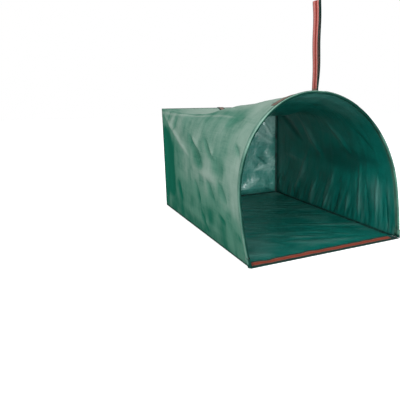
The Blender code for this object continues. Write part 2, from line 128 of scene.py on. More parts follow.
class Finish:
    """A material with one Principled shader: constants on it, and wires for what varies."""

    def __init__(self, name, **constants):
        self.material = bpy.data.materials.new(name)
        self.material.use_nodes = True
        self.tree = self.material.node_tree
        self.shader = self.tree.nodes["Principled BSDF"]
        for socket, value in constants.items():
            self.shader.inputs[socket.replace("_", " ")].default_value = value

    def node(self, kind, settings, sockets, output=0):
        made = self.tree.nodes.new("ShaderNode" + kind)
        for key, value in settings.items():
            setattr(made, key, value)
        for key, value in sockets.items():
            self.join(made.inputs[key], value)
        return Wire(self, made.outputs[output])

    def join(self, socket, value):
        if isinstance(value, Wire):
            self.tree.links.new(value.output, socket)
        elif isinstance(value, tuple) and len(value) == 3 and socket.type == "RGBA":
            socket.default_value = (*value, 1)
        else:
            socket.default_value = value

    def feed(self, **wires):
        for socket, value in wires.items():
            self.join(self.shader.inputs[socket.replace("_", " ")], value)

    def lay(self):
        """A point's place on the flat cloth, across and along, and how far the sewn edge is."""
        flat = self.node("Attribute", {"attribute_name": "lay"}, {}, "Vector")
        return [self.node("SeparateXYZ", {}, {0: flat}, k) for k in (0, 1, 2)]

    def wear_and_light(self):
        """0 where a surface is painted deep, as shade, and 1 where it is painted pale, as sheen and wear.
        """
        return self.node("Attribute", {"attribute_name": "wear_and_light"}, {}, "Fac")

    def speckle(self, across, along, scale, detail=2.0):
        spread = self.node("CombineXYZ", {}, {0: across, 1: along})
        at = self.node("VectorMath", {"operation": "SCALE"}, {0: spread, 3: scale})
        return self.node("TexNoise", {}, {"Vector": at, "Scale": 1.0, "Detail": detail})

    def grain(self, scale, detail):
        spot = self.node("TexCoord", {}, {}, "Object")
        return self.node("TexNoise", {}, {"Vector": spot, "Scale": scale, "Detail": detail})

    def mix(self, share, first, second):
        settings = {"data_type": "RGBA"}
        return self.node("Mix", settings, {0: share, 6: first, 7: second}, 2)

    def bump(self, height, distance, over=None):
        sockets = {"Height": height, "Distance": distance}
        if over is not None:
            sockets["Normal"] = over
        return self.node("Bump", {}, sockets)


def linear(red, green, blue):
    """A colour written as a screen shows it, from 0 to 255, as Blender's own numbers."""
    shares = np.array([red, green, blue]) / 255
    low = shares / 12.92
    return tuple(float(x) for x in np.where(shares < 0.04045, low, ((shares + 0.055) / 1.055) ** 2.4))


# A plain white sweep of paper under the bag and all round it, and large soft lamps: one high at
# the front left that gives the form, one over the roof, and two low ones that shine into the mouth.
PAPER_SIZE, PAPER_DROP = 14.0, 0.0008
WORLD_LIGHT = 0.62
PAPER_LIFT = 0.5
LAMPS = {
    "front_left": ((-2.8, -1.6, 2.2), 2.2, 46),
    "overhead": ((0.3, 0.4, 3.2), 2.6, 34),
    "front_low": ((-0.6, -3.2, 0.9), 2.0, 66),
    "front_right": ((2.2, -3.0, 1.0), 1.6, 24),
}


def seen_directly(tree):
    """1 for what the camera, a reflection or a clear piece shows, and 0 for light that falls."""
    path = tree.nodes.new("ShaderNodeLightPath")
    found = path.outputs["Is Camera Ray"]
    for ray in ("Is Glossy Ray", "Is Transmission Ray"):
        either = tree.nodes.new("ShaderNodeMath")
        either.operation = "MAXIMUM"
        tree.links.new(found, either.inputs[0])
        tree.links.new(path.outputs[ray], either.inputs[1])
        found = either.outputs[0]
    return found


paper = Finish("paper", Roughness=0.9, Emission_Strength=1.0)
lifted = paper.mix(Wire(paper, seen_directly(paper.tree)), (0.0, 0.0, 0.0), (PAPER_LIFT,) * 3)
paper.feed(Base_Color=linear(250, 250, 250), Emission_Color=lifted)
sweep = bpy.data.meshes.new("paper_sweep")
edge = PAPER_SIZE / 2
corners = [(-edge, -edge), (edge, -edge), (edge, edge), (-edge, edge)]
sweep.from_pydata([(x, y, -PAPER_DROP) for x, y in corners], [], [(0, 1, 2, 3)])
sweep.materials.append(paper.material)
sweep_object = bpy.data.objects.new("paper_sweep", sweep)
bpy.context.scene.collection.objects.link(sweep_object)

world = bpy.data.worlds.new("studio")
world.use_nodes = True
bpy.context.scene.world = world
strength = world.node_tree.nodes.new("ShaderNodeMapRange")
strength.inputs["To Min"].default_value = WORLD_LIGHT
world.node_tree.links.new(seen_directly(world.node_tree), strength.inputs["Value"])
sky = world.node_tree.nodes["Background"]
sky.inputs["Color"].default_value = (1, 1, 1, 1)
world.node_tree.links.new(strength.outputs[0], sky.inputs["Strength"])

for name, (place, size, power) in LAMPS.items():
    lamp = bpy.data.lights.new(name, "AREA")
    lamp.shape, lamp.size, lamp.energy = "SQUARE", size, power
    holder = bpy.data.objects.new(name, lamp)
    holder.location = place
    aim = Vector((0, 0, 0.2)) - holder.location
    holder.rotation_euler = aim.to_track_quat("-Z", "Y").to_euler()
    bpy.context.scene.collection.objects.link(holder)


# The wrap is one woven cloth, up the left side, over the roof and down the right side. It is sewn
# to the floor and the back, and its front edge is clamped in the sleeve. It is slack, so the roof
# sags between the arch and the back, and the walls keep soft dents from having been folded.
FLOOR_LENGTH, LIP_WIDTH, REAR_WIDTH, REAR_HEIGHT = 0.800, 0.596, 0.590, 0.430
REAR_SET_BACK = 0.016
HOOP_HEIGHT, HOOP_WIDTH, HOOP_WIDEST_AT = 0.514, 0.620, 0.180
HOOP_LEAN = math.radians(13.2)
ROOF_SAG, SHOULDER_SAG = (0.048, 0.20, 1, 2.3), (0.012, 0.45, 2, 1.25)
FAN_BELOW_SHARE, FAN_ABOVE_SHARE, FAN_HELD_SHARE = 0.10, 0.15, 0.012
CLOTH, VISIBLE_CLOTH, GAP = 0.0012, 0.0007, 0.0003
WRAP_STEP, WRAP_FRONT, WRAP_ALONG = 0.0042, 0.0058, 20
LIP_Y, BACK_Y = -FLOOR_LENGTH / 2, FLOOR_LENGTH / 2
WALL_FOOT = CLOTH + GAP
SEAM = 0.0008


def reached_along(points):
    """How far along a line each of its places lies."""
    steps = np.linalg.norm(np.diff(points, axis=0), axis=1)
    return np.concatenate([[0], np.cumsum(steps)])


def measured(points):
    """A function from shares of the line's length to the places there, and the length."""
    points = np.asarray(points, float)
    reached = reached_along(points)

    def at(shares):
        there = np.clip(shares, 0, 1) * reached[-1]
        return np.stack([np.interp(there, reached, column) for column in points.T], -1)

    return at, reached[-1]


def hoop_outline(steps=96):
    """The rod's line from the left foot to the right one: upright feet, then half an ellipse."""
    widest = HOOP_WIDTH / 2
    below = np.linspace(0, 1, steps // 4, endpoint=False)
    turn = np.linspace(0, math.pi / 2, steps)
    feet = widest - (widest - LIP_WIDTH / 2) * (1 - below) ** 2
    across = np.concatenate([feet, widest * np.cos(turn)])
    arch = HOOP_WIDEST_AT + (HOOP_HEIGHT - HOOP_WIDEST_AT) * np.sin(turn)
    height = np.concatenate([HOOP_WIDEST_AT * below, arch])
    left, right = np.stack([-across, height], 1), np.stack([across, height], 1)
    return np.concatenate([left, right[-2::-1]])


hoop_at, HOOP_LENGTH = measured(hoop_outline())
side = REAR_WIDTH / 2
rear_at, REAR_LENGTH = measured([(-side, 0), (-side, REAR_HEIGHT), (side, REAR_HEIGHT), (side, 0)])
REAR_CORNER = REAR_HEIGHT / REAR_LENGTH


def mouth_place(girth):
    across, height = np.moveaxis(hoop_at(girth), -1, 0)
    y = LIP_Y + height * math.sin(HOOP_LEAN)
    return np.stack([across, y, height * math.cos(HOOP_LEAN)], -1)


def back_y(height):
    return BACK_Y + REAR_SET_BACK * height / REAR_HEIGHT


def rear_place(girth):
    """Where the cloth that leaves the arch at a share of its length ends on the rear outline."""
    arch = [0, REAR_CORNER - FAN_BELOW_SHARE, REAR_CORNER, REAR_CORNER + FAN_ABOVE_SHARE]
    rear = [0, REAR_CORNER - FAN_HELD_SHARE, REAR_CORNER, REAR_CORNER + FAN_HELD_SHARE]
    arch, rear = [shares + [1 - share for share in shares[::-1]] for shares in (arch, rear)]
    across, height = np.moveaxis(rear_at(np.interp(girth, arch, rear)), -1, 0)
    return np.stack([across, back_y(height), height], -1)


def wrap_place(girth, along):
    """The cloth before its folds: straight from the mouth to the rear, less the slack's sag."""
    girth, along = np.broadcast_arrays(girth, along)
    near, far = mouth_place(girth), rear_place(girth)
    place = near + (far - near) * along[..., None]
    for sag, reach, power, late in (ROOF_SAG, SHOULDER_SAG):
        deep = np.maximum(np.sin(math.pi * np.clip(along, 0, 1) ** late), 0)
        across = np.minimum(abs(girth - 0.5) / reach, 1)
        place[..., 2] -= sag * deep**power * (1 + np.cos(math.pi * across)) / 2
    return place


def unit(vectors):
    return vectors / np.linalg.norm(vectors, axis=-1, keepdims=True)


def facing(places):
    """The direction square to a grid of places, at each one."""
    return unit(np.cross(np.gradient(places, axis=0), np.gradient(places, axis=1)))


def smooth(values, low, high):
    share = np.clip((values - low) / (high - low), 0, 1)
    return share * share * (3 - 2 * share)


def bumps(u, v, seed, cells=64):
    """Smooth hills and hollows one unit apart, between about -1 and 1, the same on each run."""
    turns = np.random.default_rng(seed).uniform(0, 2 * math.pi, (cells, cells))
    i, j = np.floor(u).astype(int), np.floor(v).astype(int)

    def slope(di, dj):
        angle = turns[(i + di) % cells, (j + dj) % cells]
        return np.cos(angle) * (u - i - di) + np.sin(angle) * (v - j - dj)

    s, t = smooth(u - i, 0, 1), smooth(v - j, 0, 1)
    low = slope(0, 0) * (1 - s) + slope(1, 0) * s
    high = slope(0, 1) * (1 - s) + slope(1, 1) * s
    return 1.6 * (low * (1 - t) + high * t)


def fold(u, v, start, end, width, depth, sharp=False):
    """A fold along a line between two places: full in the middle, gone at its ends."""
    (u0, v0), (u1, v1) = start, end
    length = math.hypot(u1 - u0, v1 - v0)
    du, dv = (u1 - u0) / length, (v1 - v0) / length
    along = ((u - u0) * du + (v - v0) * dv) / length
    off = abs((u - u0) * dv - (v - v0) * du)
    swell = np.sin(math.pi * np.clip(along, 0, 1)) ** 0.8
    reach = width * (0.35 + 0.65 * swell)
    across = np.exp(-off / reach * 1.4) if sharp else np.exp(-((off / reach) ** 2))
    return depth * swell * across


# Folds of the left wall: height up the cloth from the floor and distance back from the mouth,
# where each one starts and ends, with its half width and how far it stands out (or in, below 0).
LEFT_FOLDS = {
    "tight line down from the rear corner": ((0.418, 0.796), (0.262, 0.440), 0.009, 0.0062),
    "hollow behind that line": ((0.360, 0.770), (0.060, 0.690), 0.050, -0.0150),
    "hollow by the rear seam": ((0.300, 0.775), (0.040, 0.765), 0.022, -0.0060),
    "long dent, upper": ((0.352, 0.462), (0.262, 0.332), 0.010, -0.0090),
    "long dent, wide foot": ((0.320, 0.410), (0.240, 0.310), 0.020, -0.0080),
    "its front lip": ((0.345, 0.425), (0.285, 0.300), 0.009, 0.0045),
    "second dent": ((0.350, 0.310), (0.285, 0.210), 0.009, -0.0080),
    "lip of the second dent": ((0.345, 0.280), (0.285, 0.190), 0.008, 0.0035),
    "foot of the second dent": ((0.300, 0.230), (0.235, 0.130), 0.022, -0.0050),
    "dent by the sleeve": ((0.365, 0.084), (0.318, 0.022), 0.006, -0.0040),
    "crease at the corner": ((0.402, 0.600), (0.340, 0.650), 0.008, -0.0050),
    "second crease at the corner": ((0.428, 0.690), (0.365, 0.722), 0.007, -0.0040),
    "ridge between those": ((0.415, 0.630), (0.355, 0.690), 0.008, 0.0035),
    "low patch, rear": ((0.190, 0.400), (0.110, 0.350), 0.016, -0.0070),
    "low patch, middle": ((0.215, 0.278), (0.140, 0.205), 0.013, -0.0075),
    "low patch, front": ((0.228, 0.176), (0.165, 0.100), 0.012, -0.0070),
    "ridge over the patches": ((0.235, 0.420), (0.225, 0.120), 0.014, 0.0040),
    "rear low dent": ((0.160, 0.620), (0.070, 0.560), 0.016, -0.0060),
    "crease to the floor": ((0.095, 0.362), (0.014, 0.300), 0.008, -0.0045),
    "crease in front of it": ((0.118, 0.200), (0.092, 0.128), 0.008, -0.0045),
    "low ridge by the floor": ((0.060, 0.560), (0.045, 0.160), 0.014, 0.0035),
    "nick by the mouth": ((0.090, 0.055), (0.062, 0.022), 0.005, -0.0030),
    "green patch on the shoulder": ((0.405, 0.200), (0.465, 0.110), 0.016, -0.0045),
    "crest from the rear corner": ((0.436, 0.790), (0.462, 0.440), 0.007, 0.0040),
    "roof line to the corner": ((0.450, 0.760), (0.520, 0.240), 0.016, -0.0035),
    "roof line beside it": ((0.470, 0.680), (0.500, 0.180), 0.012, 0.0030),
}
# Folds of the right wall, the same way, but above 0 they stand into the bag. Most are upright
# wrinkles where the cloth is gathered at the floor.
RIGHT_FOLDS = {
    "curved fold by the back": ((0.020, 0.640), (0.260, 0.520), 0.012, 0.0050),
    "fold across the back end": ((0.215, 0.730), (0.190, 0.560), 0.010, 0.0045),
    "gather by the back": ((0.004, 0.530), (0.150, 0.460), 0.009, 0.0040),
    "leaning gather": ((0.006, 0.420), (0.190, 0.340), 0.008, 0.0045),
    "leaning hollow": ((0.004, 0.350), (0.150, 0.300), 0.008, -0.0045),
    "short gather": ((0.008, 0.280), (0.110, 0.262), 0.006, 0.0040),
    "long gather": ((0.006, 0.205), (0.240, 0.185), 0.009, 0.0045),
    "hollow beside it": ((0.010, 0.150), (0.180, 0.152), 0.007, -0.0045),
    "front gather": ((0.030, 0.112), (0.215, 0.092), 0.008, 0.0042),
    "front hollow": ((0.010, 0.052), (0.150, 0.060), 0.006, -0.0036),
    "slack over the gathers": ((0.240, 0.540), (0.250, 0.060), 0.034, -0.0080),
    "fold down from the roof": ((0.400, 0.600), (0.220, 0.420), 0.014, 0.0060),
    "second fold down": ((0.390, 0.360), (0.250, 0.230), 0.012, 0.0045),
    "third fold down": ((0.400, 0.180), (0.290, 0.090), 0.009, -0.0035),
    "corner line": ((0.420, 0.785), (0.280, 0.560), 0.014, -0.0060),
}
# Small waves all over the slack cloth, more of them near the floor and over the roof: how high they
# are, how long up the cloth and back, and which set of hills is used.
WAVES, LOW_WAVES = ((0.0020, 0.13, 0.10, 3), (0.0007, 0.20, 0.018, 5)), (0.0018, 0.10, 0.022, 7)
ROOF_WAVES, GATHERS_STAND = (0.0014, 0.030, 0.12, 9), 0.0023
GATHERS = (1, 0.11, 0.016, 14), (0.6, 0.06, 0.008, 15)
# Stretches over which a form, or the crest's painted highlight, comes or goes, up the cloth and then
# back along it.
NEAR_FLOOR, NEAR_ROOF, OVER_ROOF, SEWN_DOWN = (0.02, 0.20), (0.36, 0.48), (0.42, 0.56), (0.0, 0.014)
CLAMPED, SEWN_BEHIND, GATHERS_LEAN = (0.013, 0.045), (0.770, 0.799), (0.12, 0.30)
GATHERS_START, GATHERS_FADE, CREST_STARTS = (0.0, 0.012), (0.05, 0.26), (0.15, 0.22)
# The roof hangs behind the arch and swells further back: how far, where it comes, where it goes.
HANGING, SWELLING = (0.0055, (0.020, 0.090), (0.20, 0.30)), (0.0045, (0.24, 0.34), (0.62, 0.755))
# The painted shade on the rear of the left wall: heights up it, and how far behind the mouth it starts.
SHADE_HEIGHTS, SHADE_FROM = (0.0, 0.09, 0.16, 0.28, 0.38, 0.43), (0.76, 0.70, 0.62, 0.54, 0.70, 0.80)
SHADE_EDGE, SHADE_MOTTLE, PATCH_MOTTLE = (-0.08, 0.22), (0.22, 0.07, 0.03, 17), (0.14, 0.10, 0.06, 13)
# How much wider than a fold its patch of painted sheen, shade and wear is, and how high a fold or a
# form has to be to be painted fully pale or deep.
PATCH_SPREAD, STROKE_FOR_SHADING_AND_WEAR, RELIEF_FOR_SHADING_AND_WEAR = 1.9, 0.022, 0.030
# The painted highlight along the crest under the roof's left edge: places behind the mouth, and its
# height up the cloth.
CREST_BEHIND = (0.17, 0.25, 0.36, 0.46, 0.56, 0.67)
CREST_HEIGHTS, CREST_WIDTH = (0.452, 0.450, 0.440, 0.429, 0.417, 0.412), 0.006


def roof_slack(up, back):
    """How far the roof stands out of its plain form: it hangs behind the arch, then swells."""
    over = smooth(up, *OVER_ROOF) * smooth(HOOP_LENGTH - up, *OVER_ROOF)
    hangs, swells = (
        far * smooth(back, *comes) * (1 - smooth(back, *goes)) for far, comes, goes in (HANGING, SWELLING)
    )
    return over * (swells - hangs)


def waves(u, v, high, long_u, long_v, seed):
    """Bumps of this height, and of these lengths each way."""
    return high * bumps(u / long_u, v / long_v, seed)


def strokes(up, down, back, spread=1.0):
    """The named folds, or soft patches round them where spread is above 1."""
    height = np.zeros_like(up)
    for start, end, width, depth in LEFT_FOLDS.values():
        height += fold(up, back, start, end, width * spread, depth)
    for start, end, width, depth in RIGHT_FOLDS.values():
        height += fold(down, back, start, end, width * spread, -depth)
    return height


def gathers(down, back):
    """The fine gathers above the right seam: upright by the mouth, leaning forward further in."""
    leaning = back + 0.45 * down * smooth(back, *GATHERS_LEAN)
    fine = sum(waves(down, leaning, *hills) for hills in GATHERS)
    return fine * (1 - smooth(down, *GATHERS_FADE)) * smooth(down, *GATHERS_START)


def wrap_relief(up, down, back):
    """How far the slack cloth stands out of its plain form, at a place on it in metres."""
    height = strokes(up, down, back)
    for wave in WAVES:
        height += waves(up, back, *wave)
    low, over = 1 - smooth(np.minimum(up, down), *NEAR_FLOOR), smooth(np.minimum(up, down), *NEAR_ROOF)
    height += waves(up, back, *LOW_WAVES) * low
    height += waves(up, back, *ROOF_WAVES) * over
    height -= GATHERS_STAND * gathers(down, back)
    clamped = smooth(back, *CLAMPED) * (1 - smooth(back, *SEWN_BEHIND))
    sewn = smooth(np.minimum(up, down), *SEWN_DOWN)
    return height * clamped * sewn + roof_slack(up, back)


def sheet_of_cloth(name, middle, lay, thickness, finishes, wear_and_light=0.5):
    """A cloth with both sides and its cut edges, from a grid of places and their flat lay.

    Its last argument, the painted light and shade with the wear, is one value or grid for both
    sides, or a pair: the side that facing() points to first.
    """
    rows, columns = middle.shape[:2]
    half = facing(middle) * thickness / 2
    points = np.concatenate([(middle + half).reshape(-1, 3), (middle - half).reshape(-1, 3)])
    index = np.arange(rows * columns).reshape(rows, columns)
    grid = (index[:-1, :-1], index[1:, :-1], index[1:, 1:], index[:-1, 1:])
    top = np.stack(grid, -1).reshape(-1, 4)
    under = top[:, ::-1] + rows * columns
    edge = np.concatenate([index[:-1, 0], index[-1, :-1], index[:0:-1, -1], index[0, :0:-1]])
    after = np.roll(edge, -1)
    rim = np.stack([after, edge, edge + rows * columns, after + rows * columns], -1)
    mesh = bpy.data.meshes.new(name)
    mesh.from_pydata(points, [], np.concatenate([top, under, rim]).tolist())
    for finish in finishes:
        mesh.materials.append(finish.material)
    sides = np.zeros(len(mesh.polygons), int)
    sides[len(top):len(top) + len(under)] = len(finishes) - 1
    mesh.polygons.foreach_set("material_index", sides)
    flat = np.tile(lay.reshape(-1, 3), (2, 1)).astype(np.float32)
    mesh.attributes.new("lay", "FLOAT_VECTOR", "POINT").data.foreach_set("vector", flat.ravel())
    both = wear_and_light if isinstance(wear_and_light, tuple) else (wear_and_light, wear_and_light)
    rubbed_and_lit = np.concatenate([np.broadcast_to(one, (rows, columns)).ravel() for one in both])
    rubbed_and_lit = rubbed_and_lit.astype(np.float32)
    mesh.attributes.new("wear_and_light", "FLOAT", "POINT").data.foreach_set("value", rubbed_and_lit)
    mesh.shade_smooth()
    mesh.set_sharp_from_angle(angle=math.radians(50))
    made = bpy.data.objects.new(name, mesh)
    bpy.context.scene.collection.objects.link(made)
    return made


def flat_lay(across, along, from_edge):
    return np.stack(np.broadcast_arrays(across, along, from_edge), -1)


THREAD = linear(14, 44, 38)
STITCH, STITCH_SHARE, STITCH_WIDTH = 0.0042, 0.62, 0.00055
TAPE, WEAVE_RAISED, STREAKS_RAISED, STITCHES_RAISED = 0.0026, 0.0001, 0.0005, 0.0004
STITCHES_INSIDE, SEAM_FADES = 0.006, (0.0020, 0.0060)


def stitched(off, along):
    """A row of stitches where off is 0: 1 on the thread, and how deep it pulls the cloth in."""
    thread = (abs(off) < STITCH_WIDTH) * ((along / STITCH).part() < STITCH_SHARE)
    return thread, 1 - abs(off).between(0.0, 0.0016)


def woven(name, colours, seam, roughness, rubbed_and_lit=0.6, **constants):
    """Cloth woven of flat plastic tapes and laminated, in its deep, plain and pale colours.

    The deep colour also stands for painted shade, and the pale one for painted sheen and wear.
    Along a sewn edge it is pulled in, and painted in the seam colour there, as shade.
    """
    finish = Finish(name, **constants)
    across, along, from_edge = finish.lay()
    column, row = (along / TAPE).steps(), (across / TAPE).steps()
    upright = finish.speckle(across, column * 0.37, 11.0)
    level = finish.speckle(row * 0.37, along, 11.0)
    tone = finish.speckle(across, along, 16.0, 4.0)
    streaks = tone * 0.62 + upright * 0.22 + level * 0.16
    deep, plain, pale = colours
    colour = finish.mix(streaks.between(0.18, 0.56), deep, plain)
    # Painted light: where the attribute is high the cloth turns pale, as painted sheen and wear, and
    # where it is low it turns deep, as painted shade.
    high = (finish.wear_and_light() + (streaks - 0.5) * 0.6).between(0.40, 1.0) * rubbed_and_lit
    low = 1 - (finish.wear_and_light() + (streaks - 0.5) * 0.4).between(0.0, 0.42)
    colour = finish.mix(low, finish.mix(high, colour, pale), deep)
    # Painted shade: darker along the sewn edges.
    colour = finish.mix(from_edge.between(*SEAM_FADES), seam, colour)
    thread, pulled = stitched(from_edge - STITCHES_INSIDE, across + along)
    finish.feed(Base_Color=finish.mix(thread, colour, THREAD))
    finish.feed(Roughness=roughness[0] + (roughness[1] - roughness[0]) * tone)
    over = abs((across * (math.pi / TAPE)).wave()) * abs((along * (math.pi / TAPE)).wave())
    weave = finish.bump(over, WEAVE_RAISED)
    streaked = finish.bump(upright + level * 0.5, STREAKS_RAISED, over=weave)
    finish.feed(Normal=finish.bump(thread - pulled, STITCHES_RAISED, over=streaked))
    return finish


# Outside and inside, the deep colours stand for painted shade, the pale ones for painted sheen and wear,
# and the dark seam colours for painted shade along the seams.
outer = woven(
    "outer_cloth",
    (linear(20, 88, 70), linear(76, 119, 103), linear(140, 158, 148)),
    linear(4, 36, 30),
    (0.45, 0.65),
    rubbed_and_lit=0.8,
    Specular_IOR_Level=0.0,
)
inner = woven(
    "inner_cloth",
    (linear(2, 80, 72), linear(6, 104, 94), linear(108, 144, 139)),
    linear(2, 40, 36),
    (0.28, 0.42),
    rubbed_and_lit=0.35,
    Specular_IOR_Level=0.5,
    Subsurface_Weight=0.5,
    Subsurface_Radius=(1.0, 1.0, 1.0),
    Subsurface_Scale=0.001,
)

first = CLOTH / HOOP_LENGTH
wall, roof = round(REAR_HEIGHT / WRAP_STEP), round((HOOP_LENGTH / 2 - REAR_HEIGHT) / WRAP_STEP)
shares = [np.linspace(first, REAR_CORNER, wall, endpoint=False), np.linspace(REAR_CORNER, 0.5, roof)]
shares = np.concatenate(shares)
girth = np.concatenate([shares, 1 - shares[-2::-1]])[:, None]
behind = np.linspace(WRAP_FRONT, FLOOR_LENGTH + SEAM, round(FLOOR_LENGTH / WRAP_STEP))[None, :]
girth, behind = np.broadcast_arrays(girth, behind)
plain = wrap_place(girth, behind / FLOOR_LENGTH)
outward = -facing(plain)
outward *= np.sign((outward * (plain - (0, 0, 0.2))).sum(-1).mean())
steps = np.linalg.norm(np.diff(plain, axis=0), axis=-1)
up = np.concatenate([np.zeros((1, steps.shape[1])), np.cumsum(steps, axis=0)])
down = up[-1:] - up
relief = wrap_relief(up, down, behind)
wrap_grid = plain + outward * relief[..., None]
wrap_grid[..., 2] = np.maximum(wrap_grid[..., 2], CLOTH - GAP)
from_edge = np.minimum(np.minimum(up, down), BACK_Y - LIP_Y - behind)
wrap_lay = flat_lay(up - up[len(up) // 2], behind, from_edge)
outside_first = (facing(plain) * outward).sum() > 0
patches = strokes(up, down, behind, PATCH_SPREAD) / STROKE_FOR_SHADING_AND_WEAR
patches = patches + (relief - roof_slack(up, behind)) / RELIEF_FOR_SHADING_AND_WEAR
patches = patches + waves(up, behind, *PATCH_MOTTLE)
in_shade = smooth(behind - np.interp(up, SHADE_HEIGHTS, SHADE_FROM), *SHADE_EDGE)
in_shade = in_shade * smooth(up, *NEAR_FLOOR) * (0.86 + waves(up, behind, *SHADE_MOTTLE))
off_crest = up - np.interp(behind, CREST_BEHIND, CREST_HEIGHTS)
on_crest = np.exp(-((off_crest / CREST_WIDTH) ** 2)) * smooth(behind, *CREST_STARTS)
from_floor = np.minimum(up, down)
# Painted light and wear: pale on the folds as painted sheen and wear, and paler by the mouth, over the
# roof as painted light, and on the crest as a painted highlight; deep in the painted shade at the rear,
# and darker by the floor as painted shade. What is a hollow outside stands out inside, and is painted
# pale there. Inside, painted light also falls by the mouth, on the gathers as glints, and under the
# front of the roof.
outside_light_and_wear = np.maximum(0.62 + 0.75 * patches + 0.15 * (1 - smooth(behind, 0.03, 0.16)), 0.30)
outside_light_and_wear = outside_light_and_wear - 0.62 * in_shade - 0.46 * (1 - smooth(from_floor, 0.04, 0.22))
outside_light_and_wear = outside_light_and_wear + 0.34 * smooth(from_floor, 0.46, 0.60) + 0.22 * on_crest
by_mouth = (1 - smooth(down, 0.12, 0.26)) * (1 - smooth(behind, 0.10, 0.30))
inside_light_and_wear = 0.42 - patches + 0.20 * by_mouth + 0.26 * gathers(down, behind)
inside_light_and_wear = inside_light_and_wear + 0.34 * smooth(from_floor, 0.38, 0.50) * (1 - smooth(behind, 0.12, 0.30))
order = slice(None) if outside_first else slice(None, None, -1)
wrap = sheet_of_cloth(
    "wrap_cloth",
    wrap_grid,
    wrap_lay,
    VISIBLE_CLOTH,
    (outer, inner)[order],
    (outside_light_and_wear, inside_light_and_wear)[order],
)
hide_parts("wrap_panel")
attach(wrap, "bag")
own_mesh(wrap)


# The floor is the same cloth laid with its laminated side up. It lies loose on the ground, so it
# keeps long shallow wrinkles that run slantwise from the left wall to the lip's right end.
FLOOR_FRONT = LIP_Y + 0.0305
FLOOR_STEP = 0.005
FLOOR_GRAIN = math.radians(-24)
LONG_WRINKLES, SHORT_WRINKLES = (0.0042, 0.26, 0.055, 21), (0.0024, 0.14, 0.030, 22)
FLOOR_DIMPLES, TURNED_UP = (0.0005, 0.03, 0.03, 23), 0.0014
FREE_OF_SIDE, FREE_OF_LIP, FREE_OF_BACK = (0.003, 0.018), (0.0, 0.05), (0.006, 0.03)


def floor_half(y):
    return (LIP_WIDTH + (REAR_WIDTH - LIP_WIDTH) * (y - LIP_Y) / FLOOR_LENGTH) / 2


rows, columns = round(LIP_WIDTH / FLOOR_STEP), round(FLOOR_LENGTH / FLOOR_STEP)
share = np.linspace(-1, 1, rows)[:, None]
length = np.linspace(FLOOR_FRONT, BACK_Y + SEAM, columns)[None, :]
half = floor_half(length)
x, y = np.broadcast_arrays(share * (half + SEAM), length)
turned_up = TURNED_UP * smooth(abs(x) - half, -0.0005, SEAM)
grain = x * math.cos(FLOOR_GRAIN) + y * math.sin(FLOOR_GRAIN)
cross = -x * math.sin(FLOOR_GRAIN) + y * math.cos(FLOOR_GRAIN)
relief = abs(waves(grain, cross, *LONG_WRINKLES))
relief += abs(waves(grain, cross, *SHORT_WRINKLES)) + waves(x, y, *FLOOR_DIMPLES)
free = smooth(side - abs(x), *FREE_OF_SIDE) * smooth(y - FLOOR_FRONT, *FREE_OF_LIP)
relief = np.maximum(relief, 0) * (free * smooth(BACK_Y - y, *FREE_OF_BACK))
# Painted light: the wrinkles' tops are painted pale as sheen, and the front left of the floor is painted
# paler, as light coming in at the mouth.
floor_cloth = sheet_of_cloth(
    "floor_cloth",
    np.stack([x, y, CLOTH / 2 + relief + turned_up], -1),
    flat_lay(x + 2, y + 2, np.minimum(half - abs(x), BACK_Y - y)),
    VISIBLE_CLOTH,
    (inner, outer),
    0.29 + relief / 0.007 + 0.22 * smooth(-x, -0.10, 0.25) * (1 - smooth(y, -0.35, 0.10)),
)
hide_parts("floor_panel")
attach(floor_cloth, "bag")
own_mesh(floor_cloth)


# The back is a panel of the same cloth, sewn in upright. Its laminated side faces into the bag,
# and folding has left it crumpled all over, so it glints where the light from the mouth meets it.
# The crumples' ridges and some glints are painted pale as well, and its foot is in painted shade.
BACK_STEP = 0.0040
BACK_FOLDS = {
    "bulge over the floor": ((-0.24, 0.030), (0.27, 0.034), 0.016, 0.0100),
    "ridge up from the bulge": ((0.10, 0.045), (0.20, 0.080), 0.012, 0.0070),
    "crease to the right seam": ((0.16, 0.120), (0.285, 0.150), 0.010, 0.0080),
    "second crease to the seam": ((0.17, 0.200), (0.280, 0.120), 0.009, -0.0036),
    "upper crease": ((0.14, 0.340), (0.270, 0.250), 0.010, 0.0075),
    "upper fan": ((0.12, 0.280), (0.235, 0.370), 0.009, -0.0060),
    "upper fan, second": ((0.20, 0.390), (0.270, 0.280), 0.008, 0.0060),
    "long level crease": ((-0.20, 0.190), (0.12, 0.200), 0.005, 0.0045),
    "left slack": ((-0.25, 0.300), (-0.05, 0.120), 0.018, 0.0070),
    "left crease": ((-0.22, 0.120), (0.00, 0.280), 0.010, -0.0060),
}
# The back is painted in shade below these heights, at places across it. Then its painted glints:
# how far across and up each one is, and its reach. Its sharp crumples: how high, their level, size
# and hills.
FOOT_ACROSS = (-side, -0.05, 0.11, 0.196, 0.275, side)
FOOT_HEIGHTS = (0.004, 0.020, 0.034, 0.048, 0.010, 0.002)
GLINTS = ((0.268, 0.150, 0.040), (0.240, 0.345, 0.055))
WIDE_CRUMPLES, FINE_CRUMPLES = (0.0040, 0.5, 0.085, 31), (0.0014, 0.4, 0.022, 33)
BACK_WAVES, OUTSIDE_MOTTLE = (0.0022, 0.045, 0.04, 32), (0.16, 0.09, 0.07, 36)
FREE_OF_SEAM, FREE_OF_FOOT, FREE_OF_TOP = (0.002, 0.028), (0.002, 0.020), (0.012, 0.040)


def crumples(u, v, high, level, size, seed):
    """Sharp ridges and round hollows, as in crumpled cloth: at most high times level above 0."""
    return high * (level - abs(bumps(u / size, v / size, seed)))


